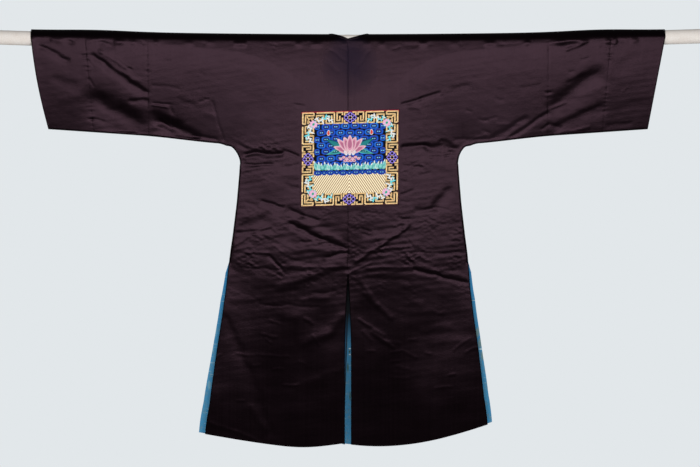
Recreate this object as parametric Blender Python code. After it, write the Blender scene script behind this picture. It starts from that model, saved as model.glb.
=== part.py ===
"""A lined silk court surcoat hung on a rod that runs through both sleeves, seen from its back.

Metres, +Z up. The origin is the rod's axis at its middle. The back of the coat faces -Y and the
front +Y. Each half of the body is one width of satin folded over the rod at the shoulder, with no
shoulder seam, so one grid of points runs from the back hem over the rod to the front hem.
"""
import math

import bmesh
import bpy
from mathutils import Matrix, Vector

# Cloth and seams
CLOTH = 0.0016
LINING = 0.0010
GAP = 0.0003
TRIM_GAP = 0.0005

# Rod, bowed a little under its own length
ROD_RADIUS = 0.021
ROD_HALF_LENGTH = 1.06
ROD_BOW = 0.016
ROD_SIDES = 16
ROD_SPANS = 16

# Cut of the sleeves, measured out from the centre seam
LOOM_WIDTH = 0.580
BAND_SEAM_TOP, BAND_SEAM_FOOT = 0.7615, 0.739
CUFF_TOP, CUFF_FOOT = 0.918, 0.869
UNDERARM_X, UNDERARM_Z, UNDERARM_SLOPE = 0.457, -0.281, 0.068
ARMPIT_X, ARMPIT_RADIUS = 0.316, 0.050

# Cut of the body: height of each level, half width of the back and of the front
SIDE_COLUMNS = ("height", "back", "front")
SIDE = (
    (-0.3373, 0.3160, 0.3160),
    (-0.4640, 0.3250, 0.3250),
    (-0.5570, 0.3335, 0.3335),
    (-0.6380, 0.3440, 0.3440),
    (-0.7480, 0.3587, 0.3660),
    (-0.8930, 0.3790, 0.3910),
    (-1.0380, 0.3970, 0.4135),
    (-1.1240, 0.4090, 0.4257),
)
SLIT_TOP = -0.638
VENT_TOP = -0.673
VENT_HALF_WIDTH = 0.0088
VENT_OPENS_OVER = 0.22
HEM_FOOT, HEM_CORNER = -1.170, -1.124
HEM_TILT = 0.0355

# Round neck, measured along the cloth from the top of the shoulder fold
NECK_HALF_WIDTH = 0.0495
NECK_FRONT_DROP = 0.0967
BINDING_WIDTH = 0.008

# How far the walls stand apart
DEPTH_AT_HEM = 0.017
SEAM_REACH, SEAM_EASE = 0.27, 1.2
FOLD_FADE_AT_SEAM, FOLD_FADE_AT_ROD = 0.12, 0.05
HEM_WAVE, HEM_WAVE_LENGTH = 0.004, 0.31

# Square badge sewn on the back, a little askew
BADGE_WIDTH, BADGE_HEIGHT, BADGE_THICKNESS = 0.280, 0.276, 0.0012
BADGE_CENTRE = (0.0068, -0.3373)
BADGE_TILT = math.radians(1.2)
BADGE_STEPS = 8
BADGE_MARGIN = 0.035

# Ball buttons and cord loops down the front
BUTTON_HEIGHTS = (-0.085, -0.215, -0.345, -0.475, -0.605)
BALL_RADIUS = 0.0055
BUTTON_TAIL = 0.042
LOOP_RADIUS = 0.0014

# Steps of the grids
BODY_STEPS = 12
SHOULDER_STEPS = 7
SLEEVE_STEPS = (7, 4, 4)
ARC_STEPS = 8
WAIST_STEP, SKIRT_STEP = 0.026, 0.046
WAIST = (-0.45, -0.74)

# Largest folds of each wall. Depth above zero stands out from the coat, below zero lies in.
FOLD_COLUMNS = ("from_x", "from_z", "to_x", "to_z", "reach", "depth")
BACK_FOLDS = (
    (-0.737, -0.035, -0.580, -0.145, 0.034, -0.0060),
    (-0.737, -0.093, -0.574, -0.191, 0.034, 0.0045),
    (-0.737, -0.151, -0.574, -0.235, 0.036, -0.0060),
    (-0.563, -0.191, -0.435, -0.275, 0.034, -0.0050),
    (-0.887, -0.040, -0.780, -0.125, 0.036, -0.0040),
    (-0.400, -0.168, -0.362, -0.281, 0.030, -0.0040),
    (0.716, -0.078, 0.589, -0.180, 0.036, -0.0060),
    (0.583, -0.203, 0.476, -0.275, 0.034, 0.0040),
    (0.705, -0.191, 0.632, -0.223, 0.034, -0.0040),
    (-0.284, -0.319, -0.170, -0.322, 0.032, -0.0060),
    (0.170, -0.302, 0.316, -0.296, 0.032, -0.0060),
    (0.293, -0.420, 0.220, -0.470, 0.036, -0.0050),
    (-0.313, -0.563, -0.226, -0.542, 0.030, -0.0050),
    (-0.168, -0.528, 0.000, -0.592, 0.030, -0.0060),
    (0.064, -0.597, 0.180, -0.534, 0.030, 0.0060),
    (-0.209, -0.661, -0.052, -0.658, 0.028, -0.0050),
    (0.046, -0.658, 0.186, -0.655, 0.028, -0.0050),
    (0.197, -0.655, 0.348, -0.693, 0.030, 0.0060),
    (-0.362, -0.783, -0.226, -1.125, 0.050, 0.0060),
    (-0.400, -1.100, -0.215, -1.166, 0.040, 0.0040),
    (-0.012, -0.783, -0.087, -0.864, 0.045, 0.0050),
    (0.023, -0.806, 0.133, -0.887, 0.045, 0.0045),
)
FRONT_FOLDS = (
    (-0.730, -0.060, -0.590, -0.160, 0.036, -0.0050),
    (-0.560, -0.170, -0.430, -0.262, 0.036, 0.0045),
    (0.745, -0.070, 0.600, -0.185, 0.036, -0.0055),
    (0.560, -0.200, 0.450, -0.270, 0.034, 0.0040),
    (-0.300, -0.325, -0.120, -0.335, 0.034, -0.0055),
    (0.130, -0.318, 0.305, -0.305, 0.034, -0.0055),
    (-0.290, -0.520, -0.110, -0.575, 0.034, -0.0050),
    (0.110, -0.600, 0.270, -0.540, 0.034, 0.0050),
    (-0.330, -0.700, -0.120, -0.668, 0.034, 0.0045),
    (0.090, -0.690, 0.330, -0.720, 0.036, -0.0045),
    (0.340, -0.800, 0.200, -1.120, 0.050, 0.0055),
    (-0.120, -0.820, -0.250, -1.050, 0.050, -0.0045),
)
FRONT_FOLD_CENTRE_MARGIN = 0.055

BACK, FRONT = -1, 1
LEFT, RIGHT = -1, 1

WALL_RADIUS = ROD_RADIUS + GAP + CLOTH / 2
SEAM_DEPTH = CLOTH / 2 + GAP / 2
QUARTER_ARC = WALL_RADIUS * math.pi / 2
NECK_BACK_DROP = QUARTER_ARC * (1 - 2 / ARC_STEPS)
ARMPIT_CENTRE = (
    ARMPIT_X + ARMPIT_RADIUS,
    UNDERARM_Z + UNDERARM_SLOPE * (ARMPIT_X + ARMPIT_RADIUS - UNDERARM_X) - ARMPIT_RADIUS,
)
ARMPIT_END_ANGLE = math.pi / 2 + math.atan(UNDERARM_SLOPE)
ARMPIT_MIDDLE_ANGLE = (math.pi + ARMPIT_END_ANGLE) / 2


def smooth(t):
    """0 below 0, 1 above 1, and an even ease between."""
    t = min(1.0, max(0.0, t))
    return t * t * (3 - 2 * t)


def rod_height(x):
    return ROD_BOW * x * x


# Outline of the pattern

def armpit(angle):
    """A point of the rounded armpit, from the side seam at pi to the underarm seam."""
    x, z = ARMPIT_CENTRE
    return x + ARMPIT_RADIUS * math.cos(angle), z + ARMPIT_RADIUS * math.sin(angle)


def underarm(x):
    return UNDERARM_Z + UNDERARM_SLOPE * (x - UNDERARM_X)


ARMPIT_MIDDLE = armpit(ARMPIT_MIDDLE_ANGLE)


def side_width(height, wall):
    """Half width of the body at a height, on a curve through the table's rows."""
    column = SIDE_COLUMNS.index("front" if wall == FRONT else "back")
    if height >= ARMPIT_MIDDLE[1]:
        return ARMPIT_MIDDLE[0]
    if height >= ARMPIT_CENTRE[1]:
        rise = height - ARMPIT_CENTRE[1]
        return ARMPIT_CENTRE[0] - math.sqrt(ARMPIT_RADIUS ** 2 - rise ** 2)
    last = len(SIDE) - 1
    i = min(last - 1, sum(row[0] >= height for row in SIDE) - 1)
    t = (height - SIDE[i][0]) / (SIDE[i + 1][0] - SIDE[i][0])
    a, b, c, d = (SIDE[min(last, max(0, k))][column] for k in (i - 1, i, i + 1, i + 2))
    cubic = ((3 * (b - c) + d - a) * t + 2 * a - 5 * b + 4 * c - d) * t + c - a
    return b + 0.5 * t * cubic


def hem_height(x):
    return HEM_FOOT + (HEM_CORNER - HEM_FOOT) * (x / side_width(HEM_CORNER, BACK)) ** 2 + HEM_TILT * x


def vent_half_width(height):
    return GAP / 2 + VENT_HALF_WIDTH * smooth((VENT_TOP - height) / VENT_OPENS_OVER)


def seam_line():
    """The joined edge of front and back: under the sleeve, round the armpit, down to the slit."""
    turns = 6
    line = [(CUFF_FOOT, underarm(CUFF_FOOT))]
    for i in range(turns + 1):
        angle = ARMPIT_END_ANGLE + (math.pi - ARMPIT_END_ANGLE) * i / turns
        line.append(armpit(angle))
    return line + [(row[1], row[0]) for row in SIDE[1:4]]


SEAM_LINE = seam_line()


def distance_to_run(x, z, start, end):
    """Distance from a point to the run from start to end, and how far along the run it is."""
    run_x, run_z = end[0] - start[0], end[1] - start[1]
    along = ((x - start[0]) * run_x + (z - start[1]) * run_z) / (run_x ** 2 + run_z ** 2)
    nearest = min(1.0, max(0.0, along))
    return math.hypot(x - start[0] - run_x * nearest, z - start[1] - run_z * nearest), along


def seam_distance(x, z):
    return min(distance_to_run(abs(x), z, a, b)[0] for a, b in zip(SEAM_LINE, SEAM_LINE[1:]))


# Depth of the two walls

def badge_offset(x, z):
    """Distance outside the badge's edge, 0 on the badge."""
    x, z = x - BADGE_CENTRE[0], z - BADGE_CENTRE[1]
    return math.hypot(max(0, abs(x) - BADGE_WIDTH / 2), max(0, abs(z) - BADGE_HEIGHT / 2))


def fold_depth(x, z, wall):
    """Sum of the folds at a point, faded out at the seams, the rod, the badge and the buttons."""
    total = 0.0
    for row in FRONT_FOLDS if wall == FRONT else BACK_FOLDS:
        fold = dict(zip(FOLD_COLUMNS, row))
        start, end = (fold["from_x"], fold["from_z"]), (fold["to_x"], fold["to_z"])
        away, _ = distance_to_run(x, z, start, end)
        if away < fold["reach"]:
            total += fold["depth"] * 0.5 * (1 + math.cos(math.pi * away / fold["reach"]))
    if wall == FRONT:
        total *= smooth(abs(x) / FRONT_FOLD_CENTRE_MARGIN - 1)
    else:
        total *= smooth(badge_offset(x, z) / BADGE_MARGIN)
    at_seam = smooth(seam_distance(x, z) / FOLD_FADE_AT_SEAM)
    return total * at_seam * smooth((rod_height(x) - z) / FOLD_FADE_AT_ROD)


def wall_depth(x, z, wall):
    """Distance of the middle of the cloth from the plane of the rod's axis."""
    free = WALL_RADIUS + (DEPTH_AT_HEM - WALL_RADIUS) * min(1.0, max(0.0, z / HEM_FOOT))
    near = 1 - min(1.0, seam_distance(x, z) / SEAM_REACH)
    depth = SEAM_DEPTH + (free - SEAM_DEPTH) * (1 - near ** SEAM_EASE)
    phase = 0.9 if wall == FRONT else 2.4
    wave = HEM_WAVE * smooth((SLIT_TOP - z) / 0.45) * math.sin(2 * math.pi * x / HEM_WAVE_LENGTH + phase)
    return depth + wave + fold_depth(x, z, wall)


def wall_point(x, z, wall):
    return Vector((x, wall * wall_depth(x, z, wall), z))


def arc_point(x, angle):
    """A point of the shoulder fold, angle 0 at the back and pi at the front."""
    height = rod_height(x) + WALL_RADIUS * math.sin(angle)
    return Vector((x, -WALL_RADIUS * math.cos(angle), height))


def cloth_point(x, path):
    """A point by its path along the cloth from the top of the fold, below zero to the back."""
    if abs(path) <= QUARTER_ARC:
        return arc_point(x, math.pi / 2 + path / WALL_RADIUS)
    wall = FRONT if path > 0 else BACK
    return wall_point(x, rod_height(x) - abs(path) + QUARTER_ARC, wall)


def neck_half_width(path):
    drop = NECK_FRONT_DROP if path > 0 else NECK_BACK_DROP
    return NECK_HALF_WIDTH * math.sqrt(max(0.0, 1 - (path / drop) ** 2))


# Grids of points

def levels():
    """Heights of the body's rows from the rod down, and which is the armpit's."""
    count = SHOULDER_STEPS
    rows = [ARMPIT_MIDDLE[1] * i / count for i in range(count + 1)]
    while rows[-1] > HEM_CORNER + SKIRT_STEP * 0.6:
        at_waist = WAIST[0] >= rows[-1] > WAIST[1]
        rows.append(rows[-1] - (WAIST_STEP if at_waist else SKIRT_STEP * 0.85))
    rows[-1] = HEM_CORNER
    return rows


LEVELS = levels()
NECK_LEVELS = [rod_height(0) - (NECK_FRONT_DROP - QUARTER_ARC) * t for t in (0.35, 0.65, 0.87, 1.0)]
FRONT_LEVELS = [LEVELS[0], *NECK_LEVELS, *(row for row in LEVELS[1:] if row < NECK_LEVELS[-1] - 0.01)]


def level_height(level, share, x, wall):
    """The real height of a level, which bends with the rod above and with the hem below."""
    foot = ARMPIT_MIDDLE[1]
    if level > foot:
        return rod_height(x) + (foot - rod_height(x)) * level / foot
    if level > SLIT_TOP:
        return level
    hem = hem_height(share * side_width(HEM_CORNER, wall))
    return SLIT_TOP + (level - SLIT_TOP) * (hem - SLIT_TOP) / (HEM_CORNER - SLIT_TOP)


def body_row(side, level, wall):
    """Points across one half of a wall at a level, from the centre line out."""
    if wall == FRONT and level > NECK_LEVELS[-1]:
        inner = neck_half_width(QUARTER_ARC - level)
    else:
        inner = 0.0
    inner = max(inner, GAP / 2 if wall == FRONT else vent_half_width(level))
    outer = side_width(level, wall)
    row = []
    for i in range(BODY_STEPS + 1):
        share = i / BODY_STEPS
        x = side * (inner + (outer - inner) * share)
        row.append(wall_point(x, level_height(level, side * share, x, wall), wall))
    return row


def body_arc_row(side, step):
    angle = math.pi * step / ARC_STEPS
    inner = max(GAP / 2, neck_half_width((angle - math.pi / 2) * WALL_RADIUS))
    xs = (inner + (ARMPIT_MIDDLE[0] - inner) * i / BODY_STEPS for i in range(BODY_STEPS + 1))
    return [arc_point(side * x, angle) for x in xs]


def body_rows(side):
    """Rows from the back hem, over the rod, to the front hem."""
    back = [body_row(side, level, BACK) for level in reversed(LEVELS)]
    over = [body_arc_row(side, step) for step in range(1, ARC_STEPS)]
    front = [body_row(side, level, FRONT) for level in FRONT_LEVELS]
    return back + over + front


def armpit_foot(share):
    """A foot of a sleeve column between the armpit's middle and the sleeve seam, by length."""
    bend = ARMPIT_RADIUS * (ARMPIT_MIDDLE_ANGLE - ARMPIT_END_ANGLE)
    end = armpit(ARMPIT_END_ANGLE)
    straight = math.hypot(LOOM_WIDTH - end[0], underarm(LOOM_WIDTH) - end[1])
    length = (bend + straight) * share
    if length < bend:
        return armpit(ARMPIT_MIDDLE_ANGLE - length / ARMPIT_RADIUS)
    x = end[0] + (LOOM_WIDTH - end[0]) * (length - bend) / straight
    return x, underarm(x)


def sleeve_columns(part):
    """Head x and foot point of each column of a part of the sleeve, from the body outwards."""
    steps = SLEEVE_STEPS[part]
    shares = [i / steps for i in range(steps + 1)]
    if part == 0:
        heads = [ARMPIT_MIDDLE[0] + (LOOM_WIDTH - GAP / 2 - ARMPIT_MIDDLE[0]) * t for t in shares]
        feet = [armpit_foot(t) for t in shares]
        feet[-1] = (LOOM_WIDTH - GAP / 2, feet[-1][1])
        return list(zip(heads, feet))
    seams = ((LOOM_WIDTH, LOOM_WIDTH), (BAND_SEAM_TOP, BAND_SEAM_FOOT), (CUFF_TOP, CUFF_FOOT))
    start, end = seams[part - 1], seams[part]
    end_gap = GAP / 2 if part == 1 else 0.0
    columns = []
    for t in shares:
        head = start[0] + GAP / 2 + (end[0] - end_gap - start[0] - GAP / 2) * t
        foot = start[1] + GAP / 2 + (end[1] - end_gap - start[1] - GAP / 2) * t
        columns.append((head, (foot, underarm(foot))))
    return columns


def sleeve_point(side, column, level, wall):
    head, (foot_x, foot_z) = column
    fall = level / ARMPIT_MIDDLE[1]
    x = head + (foot_x - head) * fall
    top = rod_height(head)
    return wall_point(side * x, top + (foot_z - top) * fall, wall)


def sleeve_rows(side, part):
    """Rows from the back of the underarm seam, over the rod, to its front."""
    columns = sleeve_columns(part)
    upper = LEVELS[:SHOULDER_STEPS + 1]
    front_upper = [level for level in FRONT_LEVELS if level >= ARMPIT_MIDDLE[1] - 1e-9]
    if part > 0:
        front_upper = upper
    back = [[sleeve_point(side, c, level, BACK) for c in columns] for level in reversed(upper)]
    over = [
        [arc_point(side * head, math.pi * step / ARC_STEPS) for head, _ in columns]
        for step in range(1, ARC_STEPS)
    ]
    front = [[sleeve_point(side, c, level, FRONT) for c in columns] for level in front_upper]
    return back + over + front


# Solids

def material(name, colour, roughness, sheen=0.0):
    made = bpy.data.materials.new(name)
    made.use_nodes = True
    shader = made.node_tree.nodes["Principled BSDF"]
    shader.inputs["Base Color"].default_value = (*colour, 1.0)
    shader.inputs["Roughness"].default_value = roughness
    shader.inputs["Metallic"].default_value = 0.0
    shader.inputs["Sheen Weight"].default_value = sheen
    made.diffuse_color = (*colour, 1.0)
    return made


def add_grid(mesh, rows):
    points = [[mesh.verts.new(p) for p in row] for row in rows]
    for row, next_row in zip(points, points[1:]):
        for a, b, c, d in zip(row, row[1:], next_row[1:], next_row):
            mesh.faces.new((a, b, c, d))


def cloth_object(name, grids, thickness, finish):
    """A sheet through one or more grids that share an edge, given its thickness on both sides."""
    mesh = bmesh.new()
    for rows in grids:
        add_grid(mesh, rows)
    bmesh.ops.remove_doubles(mesh, verts=mesh.verts, dist=1e-6)
    bmesh.ops.recalc_face_normals(mesh, faces=mesh.faces)
    made = mesh_object(name, mesh, finish)
    wall = made.modifiers.new("Cloth", "SOLIDIFY")
    wall.thickness = thickness
    wall.offset = 0.0
    wall.use_quality_normals = True
    return made


def mesh_object(name, mesh, finish):
    data = bpy.data.meshes.new(name)
    mesh.to_mesh(data)
    mesh.free()
    data.materials.append(finish)
    data.shade_smooth()
    data.set_sharp_from_angle(angle=math.radians(40))
    made = bpy.data.objects.new(name, data)
    bpy.context.scene.collection.objects.link(made)
    return made


def moved(rows, distance):
    """The rows moved along the normals of their own grid, which runs out from the coat."""
    last_row, last_column = len(rows) - 1, len(rows[0]) - 1
    result = []
    for i, row in enumerate(rows):
        line = []
        for j, point in enumerate(row):
            down = rows[min(last_row, i + 1)][j] - rows[max(0, i - 1)][j]
            across = row[min(last_column, j + 1)] - row[max(0, j - 1)]
            line.append(point + across.cross(down).normalized() * distance)
        result.append(line)
    return result


def make_rod(finish):
    """A plain round rod with upright ends, each ring on the bow."""
    mesh = bmesh.new()
    rings = []
    for i in range(ROD_SPANS + 1):
        x = ROD_HALF_LENGTH * (2 * i / ROD_SPANS - 1)
        turns = [2 * math.pi * j / ROD_SIDES for j in range(ROD_SIDES)]
        spots = [(ROD_RADIUS * math.cos(a), rod_height(x) + ROD_RADIUS * math.sin(a)) for a in turns]
        rings.append([mesh.verts.new((x, y, z)) for y, z in spots])
    for ring, next_ring in zip(rings, rings[1:]):
        for j in range(ROD_SIDES):
            mesh.faces.new((ring[j - 1], ring[j], next_ring[j], next_ring[j - 1]))
    mesh.faces.new(rings[0])
    mesh.faces.new(rings[-1])
    bmesh.ops.recalc_face_normals(mesh, faces=mesh.faces)
    return mesh_object("rod", mesh, finish)


def make_lining(side, name, finish):
    """The lining that shows inside a front panel below the slit, set back from the satin's edge."""
    set_back = 0.003
    shown = [level for level in FRONT_LEVELS if level < SLIT_TOP - 0.005]
    panel = [body_row(side, level, FRONT) for level in shown]
    inner = moved(panel, side * -(CLOTH / 2 + TRIM_GAP + LINING / 2))
    for row in inner:
        for end, beside in ((0, 1), (-1, -2)):
            run = row[beside] - row[end]
            row[end] = row[end] + run * (set_back / run.length)
    for end, beside in ((0, 1), (-1, -2)):
        runs = [inner[beside][j] - inner[end][j] for j in range(len(inner[end]))]
        inner[end] = [p + run * (set_back / run.length) for p, run in zip(inner[end], runs)]
    return cloth_object(name, [inner], LINING, finish)


def make_badge(finish):
    """The square badge, from the back wall's points moved out."""
    rows = []
    for i in range(BADGE_STEPS + 1):
        row = []
        for j in range(BADGE_STEPS + 1):
            across = BADGE_WIDTH * (j / BADGE_STEPS - 0.5)
            up = BADGE_HEIGHT * (0.5 - i / BADGE_STEPS)
            x = BADGE_CENTRE[0] + across * math.cos(BADGE_TILT) - up * math.sin(BADGE_TILT)
            z = BADGE_CENTRE[1] + across * math.sin(BADGE_TILT) + up * math.cos(BADGE_TILT)
            row.append(wall_point(x, z, BACK))
        rows.append(row)
    rise = CLOTH / 2 + TRIM_GAP + BADGE_THICKNESS / 2
    return cloth_object("rank_badge", [moved(rows, -rise)], BADGE_THICKNESS, finish)


def make_neck_binding(finish):
    """A narrow strip round the neck's edge, open at the centre front."""
    steps = 48
    inner, outer = [], []
    for i in range(-steps, steps + 1):
        side = LEFT if i < 0 else RIGHT
        turn = math.pi * abs(i) / steps
        drop = NECK_FRONT_DROP if turn > math.pi / 2 else NECK_BACK_DROP
        x, path = NECK_HALF_WIDTH * math.sin(turn), -drop * math.cos(turn)
        slope = Vector((math.sin(turn) * drop, -math.cos(turn) * NECK_HALF_WIDTH)).normalized()
        for line, reach in ((inner, 0.0), (outer, BINDING_WIDTH)):
            across = max(GAP, x + slope.x * reach)
            line.append(cloth_point(side * across if i else 0.0, path + slope.y * reach))
    rise = CLOTH / 2 + TRIM_GAP + LINING / 2
    return cloth_object("neck_binding", [moved([outer, inner], rise)], LINING, finish)


def make_button(index, height, finish):
    """A ball on a short neck, rising from a flat tail that is sewn to the left front."""
    tail_height, tail_width, neck_radius = 0.0020, 0.0050, 0.0016
    face = wall_depth(0, height, FRONT) + CLOTH / 2 + TRIM_GAP
    ball_rise = 0.0089
    mesh = bmesh.new()
    bmesh.ops.create_cube(mesh, size=1.0)
    bmesh.ops.scale(mesh, verts=mesh.verts, vec=(BUTTON_TAIL, tail_height, tail_width))
    place = (-BUTTON_TAIL / 2 + tail_width / 2, face + tail_height / 2, height)
    bmesh.ops.translate(mesh, verts=mesh.verts, vec=place)
    made = mesh_object(f"button_{index}", mesh, finish)
    turn = Matrix.Rotation(math.pi / 2, 4, "X")
    ball = bmesh.new()
    centre = Matrix.Translation((0, face + ball_rise, height))
    bmesh.ops.create_uvsphere(ball, u_segments=10, v_segments=7, radius=BALL_RADIUS, matrix=centre @ turn)
    add_helper(made, "ball", ball, finish)
    neck = bmesh.new()
    length = ball_rise - tail_height / 2
    middle = Matrix.Translation((0, face + tail_height / 2 + length / 2, height))
    bmesh.ops.create_cone(
        neck, cap_ends=True, segments=8, radius1=neck_radius, radius2=neck_radius,
        depth=length, matrix=middle @ turn,
    )
    add_helper(made, "neck", neck, finish)
    return made


def add_helper(owner, word, mesh, finish):
    """Joins a hidden shape to its owner with a Boolean union."""
    bmesh.ops.recalc_face_normals(mesh, faces=mesh.faces)
    helper = mesh_object(f"{owner.name}_{word}", mesh, finish)
    helper.hide_render = True
    helper.display_type = "WIRE"
    join = owner.modifiers.new(word, "BOOLEAN")
    join.operation = "UNION"
    join.object = helper


def make_loop(index, height, finish):
    """A cord sewn to the right front in a hairpin whose bend goes round the button's neck."""
    ring, run_gap, turns = 0.0050, 0.0022, 8
    face = wall_depth(0, height, FRONT) + CLOTH / 2 + TRIM_GAP
    low, high = face + LOOP_RADIUS, face + 0.0020 + GAP + LOOP_RADIUS
    opening = math.asin(run_gap / ring)
    points = [(BUTTON_TAIL, low, -run_gap), (BUTTON_TAIL * 0.45, low + 0.0006, -run_gap)]
    for i in range(turns + 1):
        angle = opening + (2 * math.pi - 2 * opening) * i / turns
        points.append((ring * math.cos(angle), high, -ring * math.sin(angle)))
    points += [(BUTTON_TAIL * 0.45, low + 0.0006, run_gap), (BUTTON_TAIL, low, run_gap)]
    curve = bpy.data.curves.new(f"loop_{index}", "CURVE")
    curve.dimensions = "3D"
    curve.bevel_depth = LOOP_RADIUS
    curve.bevel_resolution = 1
    curve.use_fill_caps = True
    line = curve.splines.new("POLY")
    line.points.add(len(points) - 1)
    for spot, (x, y, z) in zip(line.points, points):
        spot.co = (x, y, height + z, 1.0)
    curve.materials.append(finish)
    made = bpy.data.objects.new(f"loop_{index}", curve)
    bpy.context.scene.collection.objects.link(made)
    return made


def main():
    for thing in list(bpy.data.objects):
        bpy.data.objects.remove(thing, do_unlink=True)
    satin = material("satin", (0.040, 0.026, 0.033), 0.42, 0.2)
    blue = material("lining_silk", (0.075, 0.310, 0.480), 0.50)
    embroidery = material("embroidery", (0.060, 0.130, 0.420), 0.55)
    wrap = material("rod_wrap", (0.760, 0.720, 0.660), 0.85)
    gilt = material("gilt_button", (0.620, 0.420, 0.160), 0.35)
    make_rod(wrap)
    for side, word in ((LEFT, "left"), (RIGHT, "right")):
        cloth_object(f"body_{word}", [body_rows(side), sleeve_rows(side, 0)], CLOTH, satin)
        cloth_object(f"sleeve_{word}", [sleeve_rows(side, 1)], CLOTH, satin)
        cloth_object(f"cuff_{word}", [sleeve_rows(side, 2)], CLOTH, satin)
        make_lining(side, f"lining_{word}", blue)
    make_badge(embroidery)
    make_neck_binding(satin)
    for index, height in enumerate(BUTTON_HEIGHTS, start=1):
        make_button(index, height, gilt)
        make_loop(index, height, satin)


main()
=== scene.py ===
"""A dark silk court surcoat with a square badge, hung on a rod and seen from its back.

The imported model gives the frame. Every piece of cloth here is cut by the same measures and hung by
the same rule, and lies within about a centimetre of its solid. Metres throughout, the back of the
coat towards -Y.
"""
import math

import bmesh
import bpy
import numpy as np
from mathutils import Matrix, Vector


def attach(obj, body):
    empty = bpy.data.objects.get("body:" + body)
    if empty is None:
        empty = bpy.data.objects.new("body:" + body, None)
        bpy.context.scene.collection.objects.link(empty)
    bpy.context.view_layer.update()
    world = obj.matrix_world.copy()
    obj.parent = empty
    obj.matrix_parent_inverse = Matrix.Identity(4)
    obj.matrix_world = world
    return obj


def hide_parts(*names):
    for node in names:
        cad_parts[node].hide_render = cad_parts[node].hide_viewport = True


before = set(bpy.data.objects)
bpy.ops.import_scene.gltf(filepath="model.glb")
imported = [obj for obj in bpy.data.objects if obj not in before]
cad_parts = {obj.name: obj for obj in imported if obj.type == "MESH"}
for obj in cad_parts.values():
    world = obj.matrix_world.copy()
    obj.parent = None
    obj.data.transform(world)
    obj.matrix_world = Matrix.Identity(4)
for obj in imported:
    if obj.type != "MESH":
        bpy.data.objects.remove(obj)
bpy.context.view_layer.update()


# The rod. A pole in a rough cream cotton wrap, pushed through both sleeves, which carries the
# coat. Its own weight bows it a little, so its ends stand higher than its middle.
ROD_RADIUS, ROD_HALF_LENGTH, ROD_BOW = 0.021, 1.06, 0.016
LEFT_END_LOWER = 0.0032


class Wire:
    """A socket of a shader, so that maths on it reads as Python."""

    def __init__(self, tree, socket):
        self.tree, self.socket = tree, socket

    def maths(self, operation, *values):
        node = self.tree.nodes.new("ShaderNodeMath")
        node.operation = operation
        for slot, value in zip(node.inputs, values):
            if isinstance(value, Wire):
                self.tree.links.new(value.socket, slot)
            else:
                slot.default_value = value
        return Wire(self.tree, node.outputs[0])

    def __add__(self, other):
        return self.maths("ADD", self, other)

    def __radd__(self, other):
        return self.maths("ADD", other, self)

    def __sub__(self, other):
        return self.maths("SUBTRACT", self, other)

    def __rsub__(self, other):
        return self.maths("SUBTRACT", other, self)

    def __mul__(self, other):
        return self.maths("MULTIPLY", self, other)

    def __rmul__(self, other):
        return self.maths("MULTIPLY", other, self)

    def __pow__(self, other):
        return self.maths("POWER", self, other)

    def sine(self):
        return self.maths("SINE", self)

    def sibling(self, number):
        """Another output of the node that this one is on."""
        return Wire(self.tree, self.socket.node.outputs[number])

    def between(self, low, high):
        """0 at low, 1 at high, held outside."""
        share = (self - low) * (1 / (high - low))
        return share.maths("MINIMUM", share.maths("MAXIMUM", share, 0.0), 1.0)


class Finish:
    """A material with one Principled shader; node() adds every other node."""

    def __init__(self, name, **fixed):
        self.material = bpy.data.materials.new(name)
        self.material.use_nodes = True
        self.tree = self.material.node_tree
        self.shader = self.tree.nodes["Principled BSDF"]
        for word, value in fixed.items():
            self.shader.inputs[word.replace("_", " ")].default_value = value

    def node(self, kind, settings=None, sockets=None, out=0):
        node = self.tree.nodes.new("ShaderNode" + kind)
        for word, value in (settings or {}).items():
            setattr(node, word, value)
        for slot, value in (sockets or {}).items():
            if isinstance(value, Wire):
                self.tree.links.new(value.socket, node.inputs[slot])
            else:
                node.inputs[slot].default_value = value
        return Wire(self.tree, node.outputs[out])

    def place(self, name=None, stretch=(1, 1, 1)):
        """Coordinates of a piece: its own attribute, or its place in the object."""
        if name:
            spot = self.node("Attribute", {"attribute_name": name}, out=1)
        else:
            spot = self.node("TexCoord", out=3)
        return self.node("VectorMath", {"operation": "MULTIPLY"}, {0: spot, 1: stretch})

    def grain(self, spot, detail=3.0, rough=0.5):
        sockets = {"Vector": spot, "Scale": 1.0, "Detail": detail, "Roughness": rough}
        return self.node("TexNoise", None, sockets)

    def blend(self, share, low, high):
        sockets = {0: share, 6: low, 7: high}
        return self.node("Mix", {"data_type": "RGBA"}, sockets, out=2)

    def bump(self, height, distance, strength=1.0, over=None):
        sockets = {"Height": height, "Distance": distance, "Strength": strength}
        if over:
            sockets["Normal"] = over
        return self.node("Bump", None, sockets)

    def feed(self, **wires):
        for word, wire in wires.items():
            self.tree.links.new(wire.socket, self.shader.inputs[word.replace("_", " ")])


def dye(*tones):
    """Red, green and blue of the eye, 0 to 255, as the linear colour that a shader takes."""
    linear = [((c / 255 + 0.055) / 1.055) ** 2.4 if c > 10 else c / 255 / 12.92 for c in tones]
    return (*linear, 1.0)


def oval(across, down, inner, outer):
    """1 in the middle of a soft oval on a surface and 0 beyond it."""
    return 1 - (across * across + down * down).between(inner, outer)


def smooth(t):
    t = np.clip(t, 0.0, 1.0)
    return t * t * (3 - 2 * t)


def ripple(x, z, length, seed):
    """Even random waves, about -1 to 1, of a given length."""
    dice = np.random.default_rng(seed)
    total = 0.0
    for _ in range(8):
        turn, phase = dice.uniform(0, 2 * math.pi, 2)
        run = length * dice.uniform(0.7, 1.5)
        total = total + np.sin(2 * math.pi * (x * math.cos(turn) + z * math.sin(turn)) / run + phase)
    return total / 3.0


def rod_height(x):
    return ROD_BOW * x * x


def new_object(name, bm, finish):
    mesh = bpy.data.meshes.new(name)
    bm.to_mesh(mesh)
    bm.free()
    mesh.materials.append(finish.material)
    made = bpy.data.objects.new(name, mesh)
    bpy.context.scene.collection.objects.link(made)
    return made


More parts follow.
